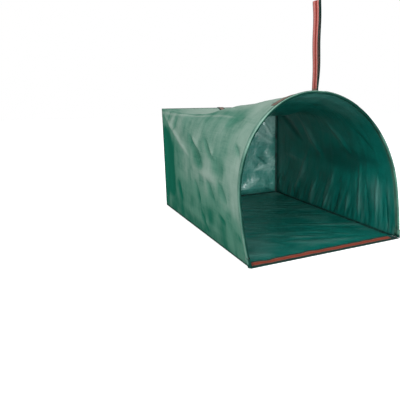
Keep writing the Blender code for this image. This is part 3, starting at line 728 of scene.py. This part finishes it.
rows, columns = round(REAR_WIDTH / BACK_STEP), round(REAR_HEIGHT / BACK_STEP)
x, z = np.meshgrid(
    np.linspace(-side - GAP, side + GAP, rows), np.linspace(0, REAR_HEIGHT, columns), indexing="ij"
)
relief = crumples(x, z, *WIDE_CRUMPLES) + waves(x, z, *BACK_WAVES)
relief += crumples(x, z, *FINE_CRUMPLES)
creased = sum(fold(x, z, *stroke, sharp=True) for stroke in BACK_FOLDS.values())
relief = relief + creased
free = smooth(side - abs(x), *FREE_OF_SEAM) * smooth(z, *FREE_OF_FOOT)
relief = relief * free * smooth(REAR_HEIGHT - z, *FREE_OF_TOP)
foot = np.interp(x, FOOT_ACROSS, FOOT_HEIGHTS)
# Painted light: the crumples' ridges and the creases are painted pale as sheen, with painted glints,
# paler higher up, and in painted shade below the foot line.
back_painted_light = 0.40 + relief / 0.014 + creased / 0.012
for across, up, reach in GLINTS:
    near = np.exp(-(((x - across) / reach) ** 2) - ((z - up) / reach) ** 2)
    back_painted_light = back_painted_light + near * (0.20 + 1.3 * abs(bumps(x / 0.020, z / 0.014, 35)))
back_painted_light = (back_painted_light + 0.25 * smooth(z, 0.24, 0.40)) * (0.3 + 0.7 * smooth(z - foot, -0.006, 0.010))
# Its pale colour is that of the painted glints.
rear_inside = woven(
    "back_inside",
    (linear(4, 80, 72), linear(66, 140, 130), linear(160, 204, 196)),
    linear(2, 40, 36),
    (0.16, 0.30),
    Specular_IOR_Level=0.8,
)
# Outside, the back is painted paler and deeper with its relief, as sheen and shade.
back_cloth = sheet_of_cloth(
    "back_cloth",
    np.stack([x, back_y(z) + CLOTH / 2 + GAP - relief, z], -1),
    flat_lay(x + 4, z + 4, np.minimum(np.minimum(side - abs(x), z), REAR_HEIGHT - z)),
    VISIBLE_CLOTH,
    (rear_inside, outer),
    (back_painted_light, 0.55 - relief / RELIEF_FOR_SHADING_AND_WEAR + waves(x, z, *OUTSIDE_MOTTLE)),
)
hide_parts("back_panel")
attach(back_cloth, "bag")


# Six bindings finish the seams inside: a dark woven tape folded over the raw edges and sewn down,
# so each is a little rounded and puckered. Three run round the floor and three round the back.
BINDING_WIDTH, BINDING = 0.010, 0.0014
BINDING_FRONT, BINDING_STEP = LIP_Y + 0.060, 0.004
BINDING_WAVERS, BINDING_LIFTS, BINDING_TURNS = (0.0007, 0.035, 1), (0.0009, 0.018, 1), (0.16, 0.025, 1)


def ribbed(name, colours, pitch, roughness):
    """A narrow tape with ribs across it and a row of stitches by each edge."""
    finish = Finish(name)
    across, along, from_edge = finish.lay()
    tone = finish.speckle(across, along, 90.0, 3.0)
    ribs = abs((along * (math.pi / pitch)).wave())
    patch = finish.speckle(across * 0.2, along, 30.0)
    colour = finish.mix((patch * 0.8 + tone * 0.3 + ribs * 0.1).between(0.50, 0.66), *colours)
    thread, pulled = stitched(from_edge - 0.0022, along)
    finish.feed(Base_Color=finish.mix(thread, colour, THREAD))
    finish.feed(Roughness=roughness + tone * 0.15)
    finish.feed(Normal=finish.bump(ribs * 0.5 + thread - pulled, 0.0003))
    return finish


def thinned(share):
    """How thick a band still is, from its middle at 0 to its edges at 1."""
    return 1 - 0.55 * share**5


def band(name, line, sideways, width, thickness, finishes, columns=9, wear_and_light=0.5):
    """A flat band along a line of places, thinner towards its two edges."""
    share = np.linspace(-0.5, 0.5, columns)
    sideways = np.broadcast_to(sideways, line.shape)
    grid = line[:, None] + sideways[:, None] * (share * width)[None, :, None]
    reached = reached_along(line)
    lay = flat_lay(share * width, reached[:, None], width / 2 - abs(share) * width)
    full = thinned(2 * abs(share))
    return sheet_of_cloth(name, grid, lay, thickness * full[None, :, None], finishes, wear_and_light)


tape = ribbed("binding_tape", (linear(2, 36, 33), linear(14, 78, 70)), 0.0012, 0.6)


def binding(node, start, end, inward, lift, seed):
    """One tape between two places on its seam: its width lies inward and it stands on lift."""
    start, end, inward, lift = (np.array(values, float) for values in (start, end, inward, lift))
    length = np.linalg.norm(end - start)
    share = np.linspace(0, 1, round(length / BINDING_STEP))[:, None]
    line = start + (end - start) * share + inward * BINDING_WIDTH / 2
    ends = smooth(share, 0, 0.05) * (1 - smooth(share, 0.95, 1))
    along, level = share * length, 0 * share
    line = line + inward * waves(along, level, *BINDING_WAVERS, seed) * ends
    line = line + lift * abs(waves(along, level, *BINDING_LIFTS, seed + 1)) * ends
    turn = waves(along, level, *BINDING_TURNS, seed + 2)
    sideways = inward * np.cos(turn) + lift * np.sin(turn)
    made = band(f"{node}_tape", line, sideways, BINDING_WIDTH, BINDING, (tape,))
    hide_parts(node)
    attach(made, "bag")
    return made


high = WALL_FOOT + BINDING / 2
inset = CLOTH / 2 + 2 * GAP
rear = BACK_Y - 2 * GAP
side_rear = rear - BINDING_WIDTH - GAP

for name, sign, seed in (("left", -1, 41), ("right", 1, 44)):
    ends = [(sign * (floor_half(y) - inset), y, high) for y in (BINDING_FRONT, side_rear)]
    floor_tape = binding(f"floor_binding_{name}", *ends, (-sign, 0, 0), (0, 0, 1), seed)
    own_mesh(floor_tape)

reach = floor_half(rear) - inset
binding("floor_binding_rear", (-reach, rear, high), (reach, rear, high), (0, -1, 0), (0, 0, 1), 47)
foot, head = WALL_FOOT + BINDING + 2 * GAP, REAR_HEIGHT - CLOTH - BINDING_WIDTH - 3 * GAP
on_back = -BINDING / 2 - GAP
for name, sign, seed in (("left", -1, 50), ("right", 1, 53)):
    edge = sign * (side - CLOTH / 2 - 2 * GAP)
    ends = [(edge, back_y(z) + on_back, z) for z in (foot, head)]
    binding(f"back_binding_{name}", *ends, (-sign, 0, 0), (0, -1, 0), seed)
reach, top = side - CLOTH - BINDING, head + GAP + BINDING_WIDTH
ends = [(x, back_y(top) + on_back, top) for x in (-reach, reach)]
binding("back_binding_top", *ends, (0, 0, -1), (0, -1, 0), 56)


# The rod is glass fibre, drawn straight and bent into the arch, with a moulded cup on each foot.
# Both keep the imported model's shape. They show only where the sleeve and the pockets end.


def grained(name, colours, scale, detail, roughness, raised):
    """A hard finish, smooth but for a fine grain."""
    finish = Finish(name, Specular_IOR_Level=0.5)
    grain = finish.grain(scale, detail)
    finish.feed(Base_Color=finish.mix(grain.between(0.3, 0.7), *colours))
    finish.feed(Roughness=roughness[0] + grain * roughness[1], Normal=finish.bump(grain, raised))
    return finish


rod = grained("glass_fibre", (linear(30, 34, 32), linear(64, 70, 66)), 240.0, 3.0, (0.30, 0.2), 0.0001)
cup = grained("moulded_cup", (linear(18, 20, 20), linear(34, 36, 36)), 900.0, 2.0, (0.45, 0.15), 0.00005)
for node, finish in (("hoop_rod", rod), ("rod_cap_left", cup), ("rod_cap_right", cup)):
    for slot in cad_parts[node].material_slots:
        slot.material = finish.material


# The sleeve is a strip of the wrap's cloth folded round the rod, its two edges sewn down on either
# side of the wrap. A pocket of the same cloth closes each end of it, over the rod's foot.
ROD_RADIUS, CAP_RADIUS = 0.0030, 0.0052
SLEEVE_CLOTH, SLEEVE_DEPTH, SLEEVE_FOOT = 0.0009, 0.013, 0.0315
POCKET_CLOTH, POCKET_DEPTH, POCKET_FOOT, POCKET_TOP = 0.0007, 0.018, 0.0030, 0.0300
FOLD_OPENING, FOLD_CLOSED_SHARE, STRIP_STEP = math.radians(60), 2.2, 0.004
SHORT_PUCKERS, LONG_PUCKERS, RAW_EDGE = (0.00035, 0.012, 0.02), (0.0003, 0.03, 0.01), (0.0005, 0.04, 0.5)
SLEEVE_MOTTLE, RAW_EDGE_WIDTH, LIFTED_EDGE = (0.16, 0.05, 0.02), 0.006, 0.0004


def wrap_frame(girth, back=0.0):
    """Places on the wrap, back metres behind the rod, with their backward and outward directions."""
    girth, back = np.broadcast_arrays(np.asarray(girth, float), back)
    along = back / np.linalg.norm(rear_place(girth) - mouth_place(girth), axis=-1)
    place = wrap_place(girth, along)
    backward = unit(wrap_place(girth, along + 1 / WRAP_ALONG) - place)
    ahead, behind = np.minimum(girth + 1e-3, 1), np.maximum(girth - 1e-3, 0)
    around = wrap_place(ahead, along) - wrap_place(behind, along)
    return place, backward, -unit(np.cross(backward, around))


def girth_at_height(height):
    """The share of the rod's length at which its left side stands at this height."""
    left = np.linspace(0, 0.45, 2000)
    return float(np.interp(height, hoop_at(left)[:, 1], left))


def hairpin(radius, wall, depth):
    """The line of a strip round the rod, seen on end: from one of its edges to the other."""
    lift, reach = CLOTH / 2 + GAP + wall / 2, radius + wall / 2
    closed = FOLD_CLOSED_SHARE * radius
    turn = np.linspace(FOLD_OPENING, 2 * math.pi - FOLD_OPENING, 24)
    fold = np.stack([reach * np.cos(turn), reach * np.sin(turn)], 1)
    leg = np.stack([np.linspace(depth, closed, 6), np.full(6, lift)], 1)
    return np.concatenate([leg, fold, (leg * (1, -1))[::-1]])


def folded_strip(name, radius, wall, depth, low, high, finish, seed, dark_foot=0.0):
    """A strip of cloth folded over the rod, puckered along its stitches, with a painted highlight
    on its crest, and painted shade on its front and, where dark_foot is above 0, at its foot.
    """
    outline = hairpin(radius, wall, depth)
    rows = max(round(abs(high - low) * HOOP_LENGTH / STRIP_STEP), 8)
    girths = np.linspace(low, high, rows)
    place, backward, outward = wrap_frame(girths)
    across = reached_along(outline)
    along = (girths - low) * HOOP_LENGTH
    s, t = np.broadcast_arrays(along[:, None], across[None, :])
    from_edge = np.minimum(t, across[-1] - t)
    pucker = waves(s, t, *SHORT_PUCKERS, seed) + waves(s, t, *LONG_PUCKERS, seed + 1)
    pucker = abs(pucker) * smooth(from_edge, 0.0, 0.004) + LIFTED_EDGE * (1 - smooth(from_edge, 0, 0.002))
    out = np.sign(outline[:, 1]) * (abs(outline[:, 1]) > 1e-6)
    a = outline[None, :, 0] + waves(s, t, *RAW_EDGE, seed + 2) * (from_edge < RAW_EDGE_WIDTH)
    b = outline[None, :, 1] + pucker * out
    grid = place[:, None] + backward[:, None] * a[..., None] + outward[:, None] * b[..., None]
    lay = flat_lay(across[None, :] + 6, along[:, None], from_edge + 0.003)
    reach = radius + wall / 2
    crest = across[-1] / 2 - math.radians(70) * reach
    to_right = girths[:, None]
    # Painted light: the crest's painted highlight is palest up to the crown, and beyond it the crest is
    # in painted shade; the right leg is painted less deep all round.
    pale = 0.55 + 0.45 * smooth(to_right, 0.22, 0.34) - 0.95 * smooth(to_right, 0.54, 0.62)
    wear_and_light = pale * np.exp(-(((t - crest) / (0.6 * reach)) ** 2)) + 0.36 * smooth(to_right, 0.66, 0.80)
    leg = 0.62 - 0.34 * smooth(to_right, 0.54, 0.66)
    wear_and_light = np.maximum(wear_and_light, leg * (1 - smooth(t, crest - reach / 2, crest + reach / 3)))
    # A pocket's foot, by the ground, is painted darker as shade.
    wear_and_light = wear_and_light + waves(s, t, *SLEEVE_MOTTLE, seed) - dark_foot * (1 - smooth(abs(s), 0.004, 0.014))
    return sheet_of_cloth(name, grid, lay, wall * 0.8, (finish,), wear_and_light)


# The sleeve's pale colour is its painted highlight, and its deep colour its painted shade.
hem = woven(
    "sleeve_cloth",
    (linear(4, 48, 40), linear(72, 114, 100), linear(136, 168, 153)),
    linear(72, 114, 100),
    (0.50, 0.66),
    rubbed_and_lit=0.9,
    Specular_IOR_Level=0.05,
)
low = girth_at_height(SLEEVE_FOOT)
SLEEVE = ROD_RADIUS + GAP, SLEEVE_CLOTH, SLEEVE_DEPTH
sleeve = folded_strip("sleeve_cloth", *SLEEVE, low, 1 - low, hem, 61)
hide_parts("hoop_sleeve")
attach(sleeve, "hoop")
developed = reached_along(hairpin(*SLEEVE))[-1]

pocket_ends = girth_at_height(POCKET_FOOT), girth_at_height(POCKET_TOP)
POCKET = CAP_RADIUS + GAP / 2, POCKET_CLOTH, POCKET_DEPTH
developed = reached_along(hairpin(*POCKET))[-1]
for name, ends in (("left", pocket_ends), ("right", [1 - share for share in pocket_ends])):
    pocket = folded_strip(f"pocket_cloth_{name}", *POCKET, *ends, hem, 64, dark_foot=0.8)
    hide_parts(f"corner_pocket_{name}")
    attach(pocket, "hoop")


# The lip is the floor's bound front edge, with red webbing sewn along it that ties the rod's feet
# together. It lies on the ground and waves a little, because the webbing is tighter than the cloth.
HEM_OVERHANG, HEM_DEPTH, HEM_END_INSET, HEM_UNDER_FOOT = 0.004, 0.034, 0.0085, 0.0075
WEBBING_WIDTH, WEBBING = 0.030, 0.0016
LIP_LEFT_INSET, LIP_RIGHT_INSET = 0.010, 0.030
SEWN_BORDERS, LOOP_BORDERS, MIDDLE_LINE = (0.0068, 0.0050), (0.0046, 0.0018), 0.0036
WEBBING_STEP, WEBBING_RIB, WEBBING_YARN, BORDER_FADES, LINE_FADES = 0.003, 0.0017, 0.0011, 0.0003, 0.0008
HEM_RIPPLES, WEBBING_WAVES = (0.0008, 0.05, 0.06, 71), (0.0007, 0.06, 1, 73)
WEBBING_LIFTS, WEBBING_TILT, WEBBING_TILTS = (0.0012, 0.045, 1, 74), 0.10, (0.10, 0.05, 1, 75)
LIP_BOW, LIP_BOW_AT, LIP_BOW_REACH, WEBBING_INSET = 0.0012, -0.02, 0.02, 0.001


def webbing_finish(name, red, line, borders, stitch_rows=True):
    """Red webbing, deepest along its middle, with dark green borders by its front and rear edge: in
    part its own, in part painted shade.
    """
    finish = Finish(name, Specular_IOR_Level=0.1)
    across, along, from_edge = finish.lay()
    tone = finish.speckle(across, along, 300.0, 3.0)
    ribs = abs((along * (math.pi / WEBBING_RIB)).wave())
    yarns = abs((across * (math.pi / WEBBING_YARN)).wave())
    patch = (tone + ribs * 0.3).between(0.35, 0.85)
    middle = abs(across).between(MIDDLE_LINE - LINE_FADES, MIDDLE_LINE + LINE_FADES)
    colour = finish.mix(middle, finish.mix(patch, *line), finish.mix(patch, *red))
    # Painted shade, in part: where the attribute is low the webbing is painted a greyer brown.
    colour = finish.mix(finish.wear_and_light().between(0.1, 0.4), linear(112, 94, 84), colour)
    dark = finish.mix(tone.between(0.3, 0.7), linear(14, 36, 32), linear(36, 64, 58))
    # The borders are wider than the webbing's own dark edges, as painted shade, the wider one most.
    for side, width in zip((-1, 1), borders):
        border = WEBBING_WIDTH / 2 - width
        beyond = (across * side).between(border - BORDER_FADES, border + BORDER_FADES)
        colour = finish.mix(beyond, colour, dark)
    height = ribs * 0.6 + yarns * 0.4
    if stitch_rows:
        thread, pulled = stitched(from_edge - 0.0030, along)
        colour = finish.mix(thread, colour, THREAD)
        height = height + thread * 1.5 - pulled
    finish.feed(Base_Color=colour, Roughness=0.62 + tone * 0.2)
    finish.feed(Normal=finish.bump(height, 0.00028))
    return finish


# One red webbing: the loop's red is painted paler and pinker than the sewn lengths', as sheen.
sewn_red = linear(104, 58, 48), linear(134, 82, 70)
sewn_line = linear(122, 42, 28), linear(146, 62, 44)
painted_sheen_loop_red = linear(150, 86, 80), linear(186, 116, 110)
loop_line = linear(112, 34, 28), linear(136, 52, 44)
sewn_webbing = webbing_finish("sewn_webbing", sewn_red, sewn_line, SEWN_BORDERS)
loop_webbing = webbing_finish("loop_webbing", painted_sheen_loop_red, loop_line, LOOP_BORDERS, False)

front = LIP_Y - HEM_OVERHANG
half_hem = LIP_WIDTH / 2 - HEM_END_INSET + HEM_UNDER_FOOT
x = np.linspace(-half_hem, half_hem, round(2 * half_hem / WEBBING_STEP))[:, None]
y = np.linspace(front, front + HEM_DEPTH, 12)[None, :]
x, y = np.broadcast_arrays(x, y)
ripple = abs(waves(x, y, *HEM_RIPPLES)) * smooth(half_hem - abs(x), 0, 0.02)
lip_hem = sheet_of_cloth(
    "lip_hem_cloth",
    np.stack([x, y, CLOTH / 2 + ripple * 0.3], -1),
    flat_lay(x + 8, y + 8, y - front),
    CLOTH,
    (tape,),
)
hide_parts("lip_hem")
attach(lip_hem, "lip")

left, right = -LIP_WIDTH / 2 + LIP_LEFT_INSET, LIP_WIDTH / 2 - LIP_RIGHT_INSET
middle = front + WEBBING_INSET + WEBBING_WIDTH / 2
x = np.linspace(left, right, round((right - left) / WEBBING_STEP))[:, None]
wave = waves(x, 0 * x, *WEBBING_WAVES) + LIP_BOW * np.exp(-(((x - LIP_BOW_AT) / LIP_BOW_REACH) ** 2))
lift = CLOTH + GAP + WEBBING / 2 + abs(waves(x, 0 * x, *WEBBING_LIFTS))
line = np.concatenate([x, middle + wave, lift], 1)
tilt = WEBBING_TILT + waves(x, 0 * x, *WEBBING_TILTS)
sideways = np.concatenate([0 * x, np.cos(tilt), np.sin(tilt)], 1)
line[:, 2] += WEBBING_WIDTH / 2 * abs(np.sin(tilt[:, 0]))
lip_webbing = band("lip_webbing_band", line, sideways, WEBBING_WIDTH, WEBBING, (sewn_webbing,), 11)
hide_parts("lip_webbing")
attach(lip_webbing, "lip")

thread = Finish("sewing_thread", Roughness=0.6)
plied = thread.grain(2500.0, 2.0)
thread.feed(Base_Color=thread.mix(plied.between(0.3, 0.7), THREAD, linear(48, 92, 80)))
thread.feed(Normal=thread.bump(plied, 0.0001))
TACK_LENGTH, TACK_WIDTH, TACK_INSET, TACK_TURNS = 0.024, 0.0022, 0.006, 15
THREAD_RADIUS, THREAD_SUNK = 0.00033, 0.0003


def bar_tack(node, body, place, wide, long, out):
    """A bar tack: thread sewn to and fro across the webbing, as one zigzag line."""
    line = bpy.data.curves.new(f"{node}_thread", "CURVE")
    line.dimensions, line.bevel_depth, line.bevel_resolution = "3D", THREAD_RADIUS, 2
    spline = line.splines.new("POLY")
    spline.points.add(2 * TACK_TURNS)
    place, wide, long, out = (np.array(values, float) for values in (place, wide, long, out))
    for k, point in enumerate(spline.points):
        a, b = (k % 2 - 0.5) * TACK_WIDTH, (k / (2 * TACK_TURNS) - 0.5) * TACK_LENGTH
        point.co = (*(place + wide * a + long * b - out * (THREAD_SUNK * (k % 2))), 1)
    line.materials.append(thread.material)
    made = bpy.data.objects.new(f"{node}_thread", line)
    bpy.context.scene.collection.objects.link(made)
    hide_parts(node)
    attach(made, body)


def on_lip(x):
    """The top of the lip webbing's middle, at a place along it."""
    along, height = (np.interp(x, line[:, 0], line[:, k]) for k in (1, 2))
    return np.array([x, along, height + WEBBING / 2])


for name, x in (("left", left + TACK_INSET), ("right", right - TACK_INSET)):
    bar_tack(f"lip_tack_{name}", "lip", on_lip(x) + (0, 0, GAP), (1, 0, 0), (0, 0.995, 0.1), (0, 0, 1))


# The top handle is one length of webbing. Its two ends are sewn to the roof along the arch, over the
# sleeve's rear edge, and between them it stands up at the crown as a narrow loop for a hand.
TOP_OFFSET, TOP_SEWN, TOP_LOOP, TOP_LOOP_SLACK = 0.010, 0.160, 0.2643, 0.0068
TOP_SPREAD, TOP_SPREAD_EARLY_POWER, TOP_LEAN = (-0.0010, 0.0058), 2 / 3, 0.009
TOP_FOLD_RADIUS, TOP_FOOT_RADIUS = 0.0028, 0.0050
TOP_TWIST, TOP_WAVE, TOP_WAVE_TURNS = math.radians(9), 0.0025, 1.5
WEBBING_FRONT, WEBBING_FORWARD, COMES_FORWARD = 0.0078, 0.0070, (0.004, 0.030)
OVER_ROD, ROD_PASSED, SLEEVE_PASSED, LOOP_STANDS = 0.0022, (0.0010, 0.0075), (0.0135, 0.020), 0.020
TOP_AT = 0.5 + TOP_OFFSET / HOOP_LENGTH
CROWN_BACK = WEBBING_FRONT + WEBBING_WIDTH / 2
PINCH = WEBBING / 2 + GAP / 2


def on_wrap(girth, back, lift):
    place, _, outward = wrap_frame(girth, back)
    return place + outward * np.expand_dims(CLOTH / 2 + lift, -1)


def loop_edge(length, near, far, fold_radius, foot_radius):
    """A loop seen on edge, as (out, up): from its left foot's bend, over the fold, to the right."""
    turn = np.linspace(-math.pi / 2, 0, 8)
    bend = np.stack([foot_radius * (np.cos(turn) - 1), foot_radius * (1 + np.sin(turn))], 1)
    share = np.linspace(0, 1, round(length / WEBBING_STEP))[1:]
    straight = length - fold_radius

    def leg(spread):
        opened = PINCH + (fold_radius - PINCH) * smooth(share, 0.2, 1)
        opened = opened + spread * np.sin(math.pi * share**TOP_SPREAD_EARLY_POWER) ** 2
        return np.stack([opened, foot_radius + (straight - foot_radius) * share], 1)

    foot = bend - (PINCH, 0)
    turn = np.linspace(math.pi, 0, 13)[1:-1]
    fold = np.stack([fold_radius * np.cos(turn), straight + fold_radius * np.sin(turn)], 1)
    return np.concatenate(
        [foot, leg(near) * (-1, 1), fold, leg(far)[::-1], (foot * (-1, 1))[::-1]]
    )


across = np.linspace(-0.5, 0.5, 11) * WEBBING_WIDTH
lift = SLEEVE_CLOTH + 2 * GAP + WEBBING / 2
crown, crown_backward, crown_outward = wrap_frame(TOP_AT, CROWN_BACK)
crown = crown + crown_outward * (CLOTH / 2 + lift)
slope = crown_backward[2] / crown_backward[1]
free = loop_edge(TOP_LOOP + TOP_LOOP_SLACK, *TOP_SPREAD, TOP_FOLD_RADIUS, TOP_FOOT_RADIUS)
share = np.clip(free[:, 1] / TOP_LOOP, 0, 1)[:, None]
turn = TOP_TWIST * share**3
wave = TOP_WAVE * np.sin(TOP_WAVE_TURNS * 2 * math.pi * share) * share
loop_grid = np.stack(
    np.broadcast_arrays(
        crown[0] + free[:, :1] * np.cos(turn) - across * np.sin(turn) + wave - TOP_LEAN * share,
        crown[1] + free[:, :1] * np.sin(turn) + across * np.cos(turn),
        crown[2] + free[:, 1:] + across * slope * (1 - share),
    ),
    -1,
)
foot = (PINCH + TOP_FOOT_RADIUS) / HOOP_LENGTH
girths = np.linspace(foot + TOP_SEWN / HOOP_LENGTH, foot, 40)[:-1, None]
backs = WEBBING_FRONT + WEBBING_WIDTH / 2 + across[None, :]


def sewn_end(girths):
    """The webbing from its end to the loop's foot: over the sleeve's edge, down on to the roof."""
    forward = WEBBING_FORWARD * smooth(abs(girths - TOP_AT) * HOOP_LENGTH, *COMES_FORWARD)
    behind = backs - forward
    over = SLEEVE_CLOTH + GAP + OVER_ROD * (1 - smooth(behind, *ROD_PASSED))
    rise = GAP + WEBBING / 2 + over * (1 - smooth(behind, *SLEEVE_PASSED))
    return on_wrap(girths, behind, rise + roof_slack(girths * HOOP_LENGTH, behind))


left_sewn, right_sewn = sewn_end(TOP_AT - girths), sewn_end(TOP_AT + girths[::-1])
top_grid = np.concatenate([left_sewn, loop_grid, right_sewn])
centre = top_grid[:, len(across) // 2]
reached = reached_along(centre)
full = thinned(abs(across) / across.max())
top_lay = flat_lay(across[None, :], reached[:, None], WEBBING_WIDTH / 2 - abs(across[None, :]))
# The loop gets 0.5, and the sewn lengths 0, so they are painted a greyer brown, partly as shade.
standing = smooth(centre[:, 2], crown[2], crown[2] + LOOP_STANDS)[:, None] * 0.5
thick = WEBBING * full[None, :, None]
top_webbing = sheet_of_cloth("top_handle_webbing", top_grid, top_lay, thick, (loop_webbing,), standing)
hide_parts("top_webbing_left", "top_webbing_right", "top_handle")
crown[2] + 0.001
crown[2] + 0.020
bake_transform(top_webbing)
for name, sign in (("left", -1), ("right", 1)):
    at = TOP_AT + sign * (TOP_SEWN - TACK_INSET + GAP) / HOOP_LENGTH
    place, backward, outward = wrap_frame(at, CROWN_BACK)
    around = np.cross(backward, outward)
    top = place + outward * (CLOTH / 2 + lift + WEBBING / 2 + GAP)
    bar_tack(f"top_tack_{name}", "hoop", top, around, backward, outward)


# At the rear a short strip of webbing is folded over the seam between roof and back and sewn down.
# A second loop hangs from it behind the bag, for tipping the leaves out.
REAR_OFFSET, STRIP_ON_ROOF, STRIP_ON_BACK, PIVOT_DROP = -0.015, 0.036, 0.050, 0.006
REAR_LOOP, REAR_SPREAD, REAR_FOLD_RADIUS, REAR_KNUCKLE = 0.150, 0.014, 0.0060, 0.0020

lift = CLOTH / 2 + GAP + WEBBING / 2
last_row = 1 - np.array([2 * GAP, 2 * GAP + FLOOR_LENGTH / WRAP_ALONG]) / FLOOR_LENGTH
seam, before = wrap_place(0.5, last_row) + (REAR_OFFSET, 0, 0)
rising = unit(seam - before)
upward = np.cross((1, 0, 0), rising)
over_roof = seam + upward * lift - rising * np.linspace(STRIP_ON_ROOF, 0, 16)[:, None]
corner = np.array([REAR_OFFSET, back_y(REAR_HEIGHT) + CLOTH + GAP, REAR_HEIGHT + CLOTH / 2])
turn = np.linspace(math.atan2(upward[2], upward[1]), 0, 9)[:, None]
bend = corner + (GAP + WEBBING / 2) * np.concatenate([0 * turn, np.cos(turn), np.sin(turn)], 1)
height = REAR_HEIGHT - np.linspace(0, STRIP_ON_BACK, 17)[1:, None]
outer_face = CLOTH + 2 * GAP + WEBBING / 2
down_back = np.concatenate([0 * height + REAR_OFFSET, back_y(height) + outer_face, height], 1)
line = np.concatenate([over_roof, bend, down_back])
# Its 0.12 paints the strip a greyer brown, partly as shade.
strip = band("rear_strip_webbing", line, (1, 0, 0), WEBBING_WIDTH, WEBBING, (sewn_webbing,), 11, 0.12)
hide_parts("rear_strip")
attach(strip, "bag")

top = seam - rising * (STRIP_ON_ROOF - TACK_INSET) + upward * (lift + WEBBING / 2 + GAP)
bar_tack("rear_tack_roof", "bag", top, rising, (1, 0, 0), upward)
height = REAR_HEIGHT - STRIP_ON_BACK + TACK_INSET
out = back_y(height) + outer_face + WEBBING / 2 + GAP
bar_tack("rear_tack_back", "bag", (REAR_OFFSET, out, height), (0, 0, 1), (1, 0, 0), (0, 1, 0))

clearance = math.hypot(PINCH + WEBBING / 2, REAR_KNUCKLE) + GAP
height = REAR_HEIGHT - PIVOT_DROP
pivot = np.array([REAR_OFFSET, back_y(height) + outer_face + WEBBING / 2 + clearance, height])
share = np.linspace(0, 1, 48)
straight = REAR_LOOP - REAR_FOLD_RADIUS
drop = -REAR_KNUCKLE + (straight + REAR_KNUCKLE) * share
opened = PINCH + (REAR_FOLD_RADIUS - PINCH) * share
near = np.stack([-opened, drop], 1)
far = np.stack([opened + REAR_SPREAD * np.sin(math.pi * share) ** 2, drop], 1)
turn = np.linspace(math.pi, 0, 17)[1:-1]
fold_over = np.stack([REAR_FOLD_RADIUS * np.cos(turn), straight + REAR_FOLD_RADIUS * np.sin(turn)], 1)
outline = np.concatenate([near, fold_over, far[::-1]])
line = pivot + np.stack([0 * outline[:, 0], outline[:, 0], -outline[:, 1]], 1)
rear_loop = band("rear_handle_webbing", line, (1, 0, 0), WEBBING_WIDTH, WEBBING, (loop_webbing,), 11)
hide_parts("rear_handle")
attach(rear_loop, "rear_handle")
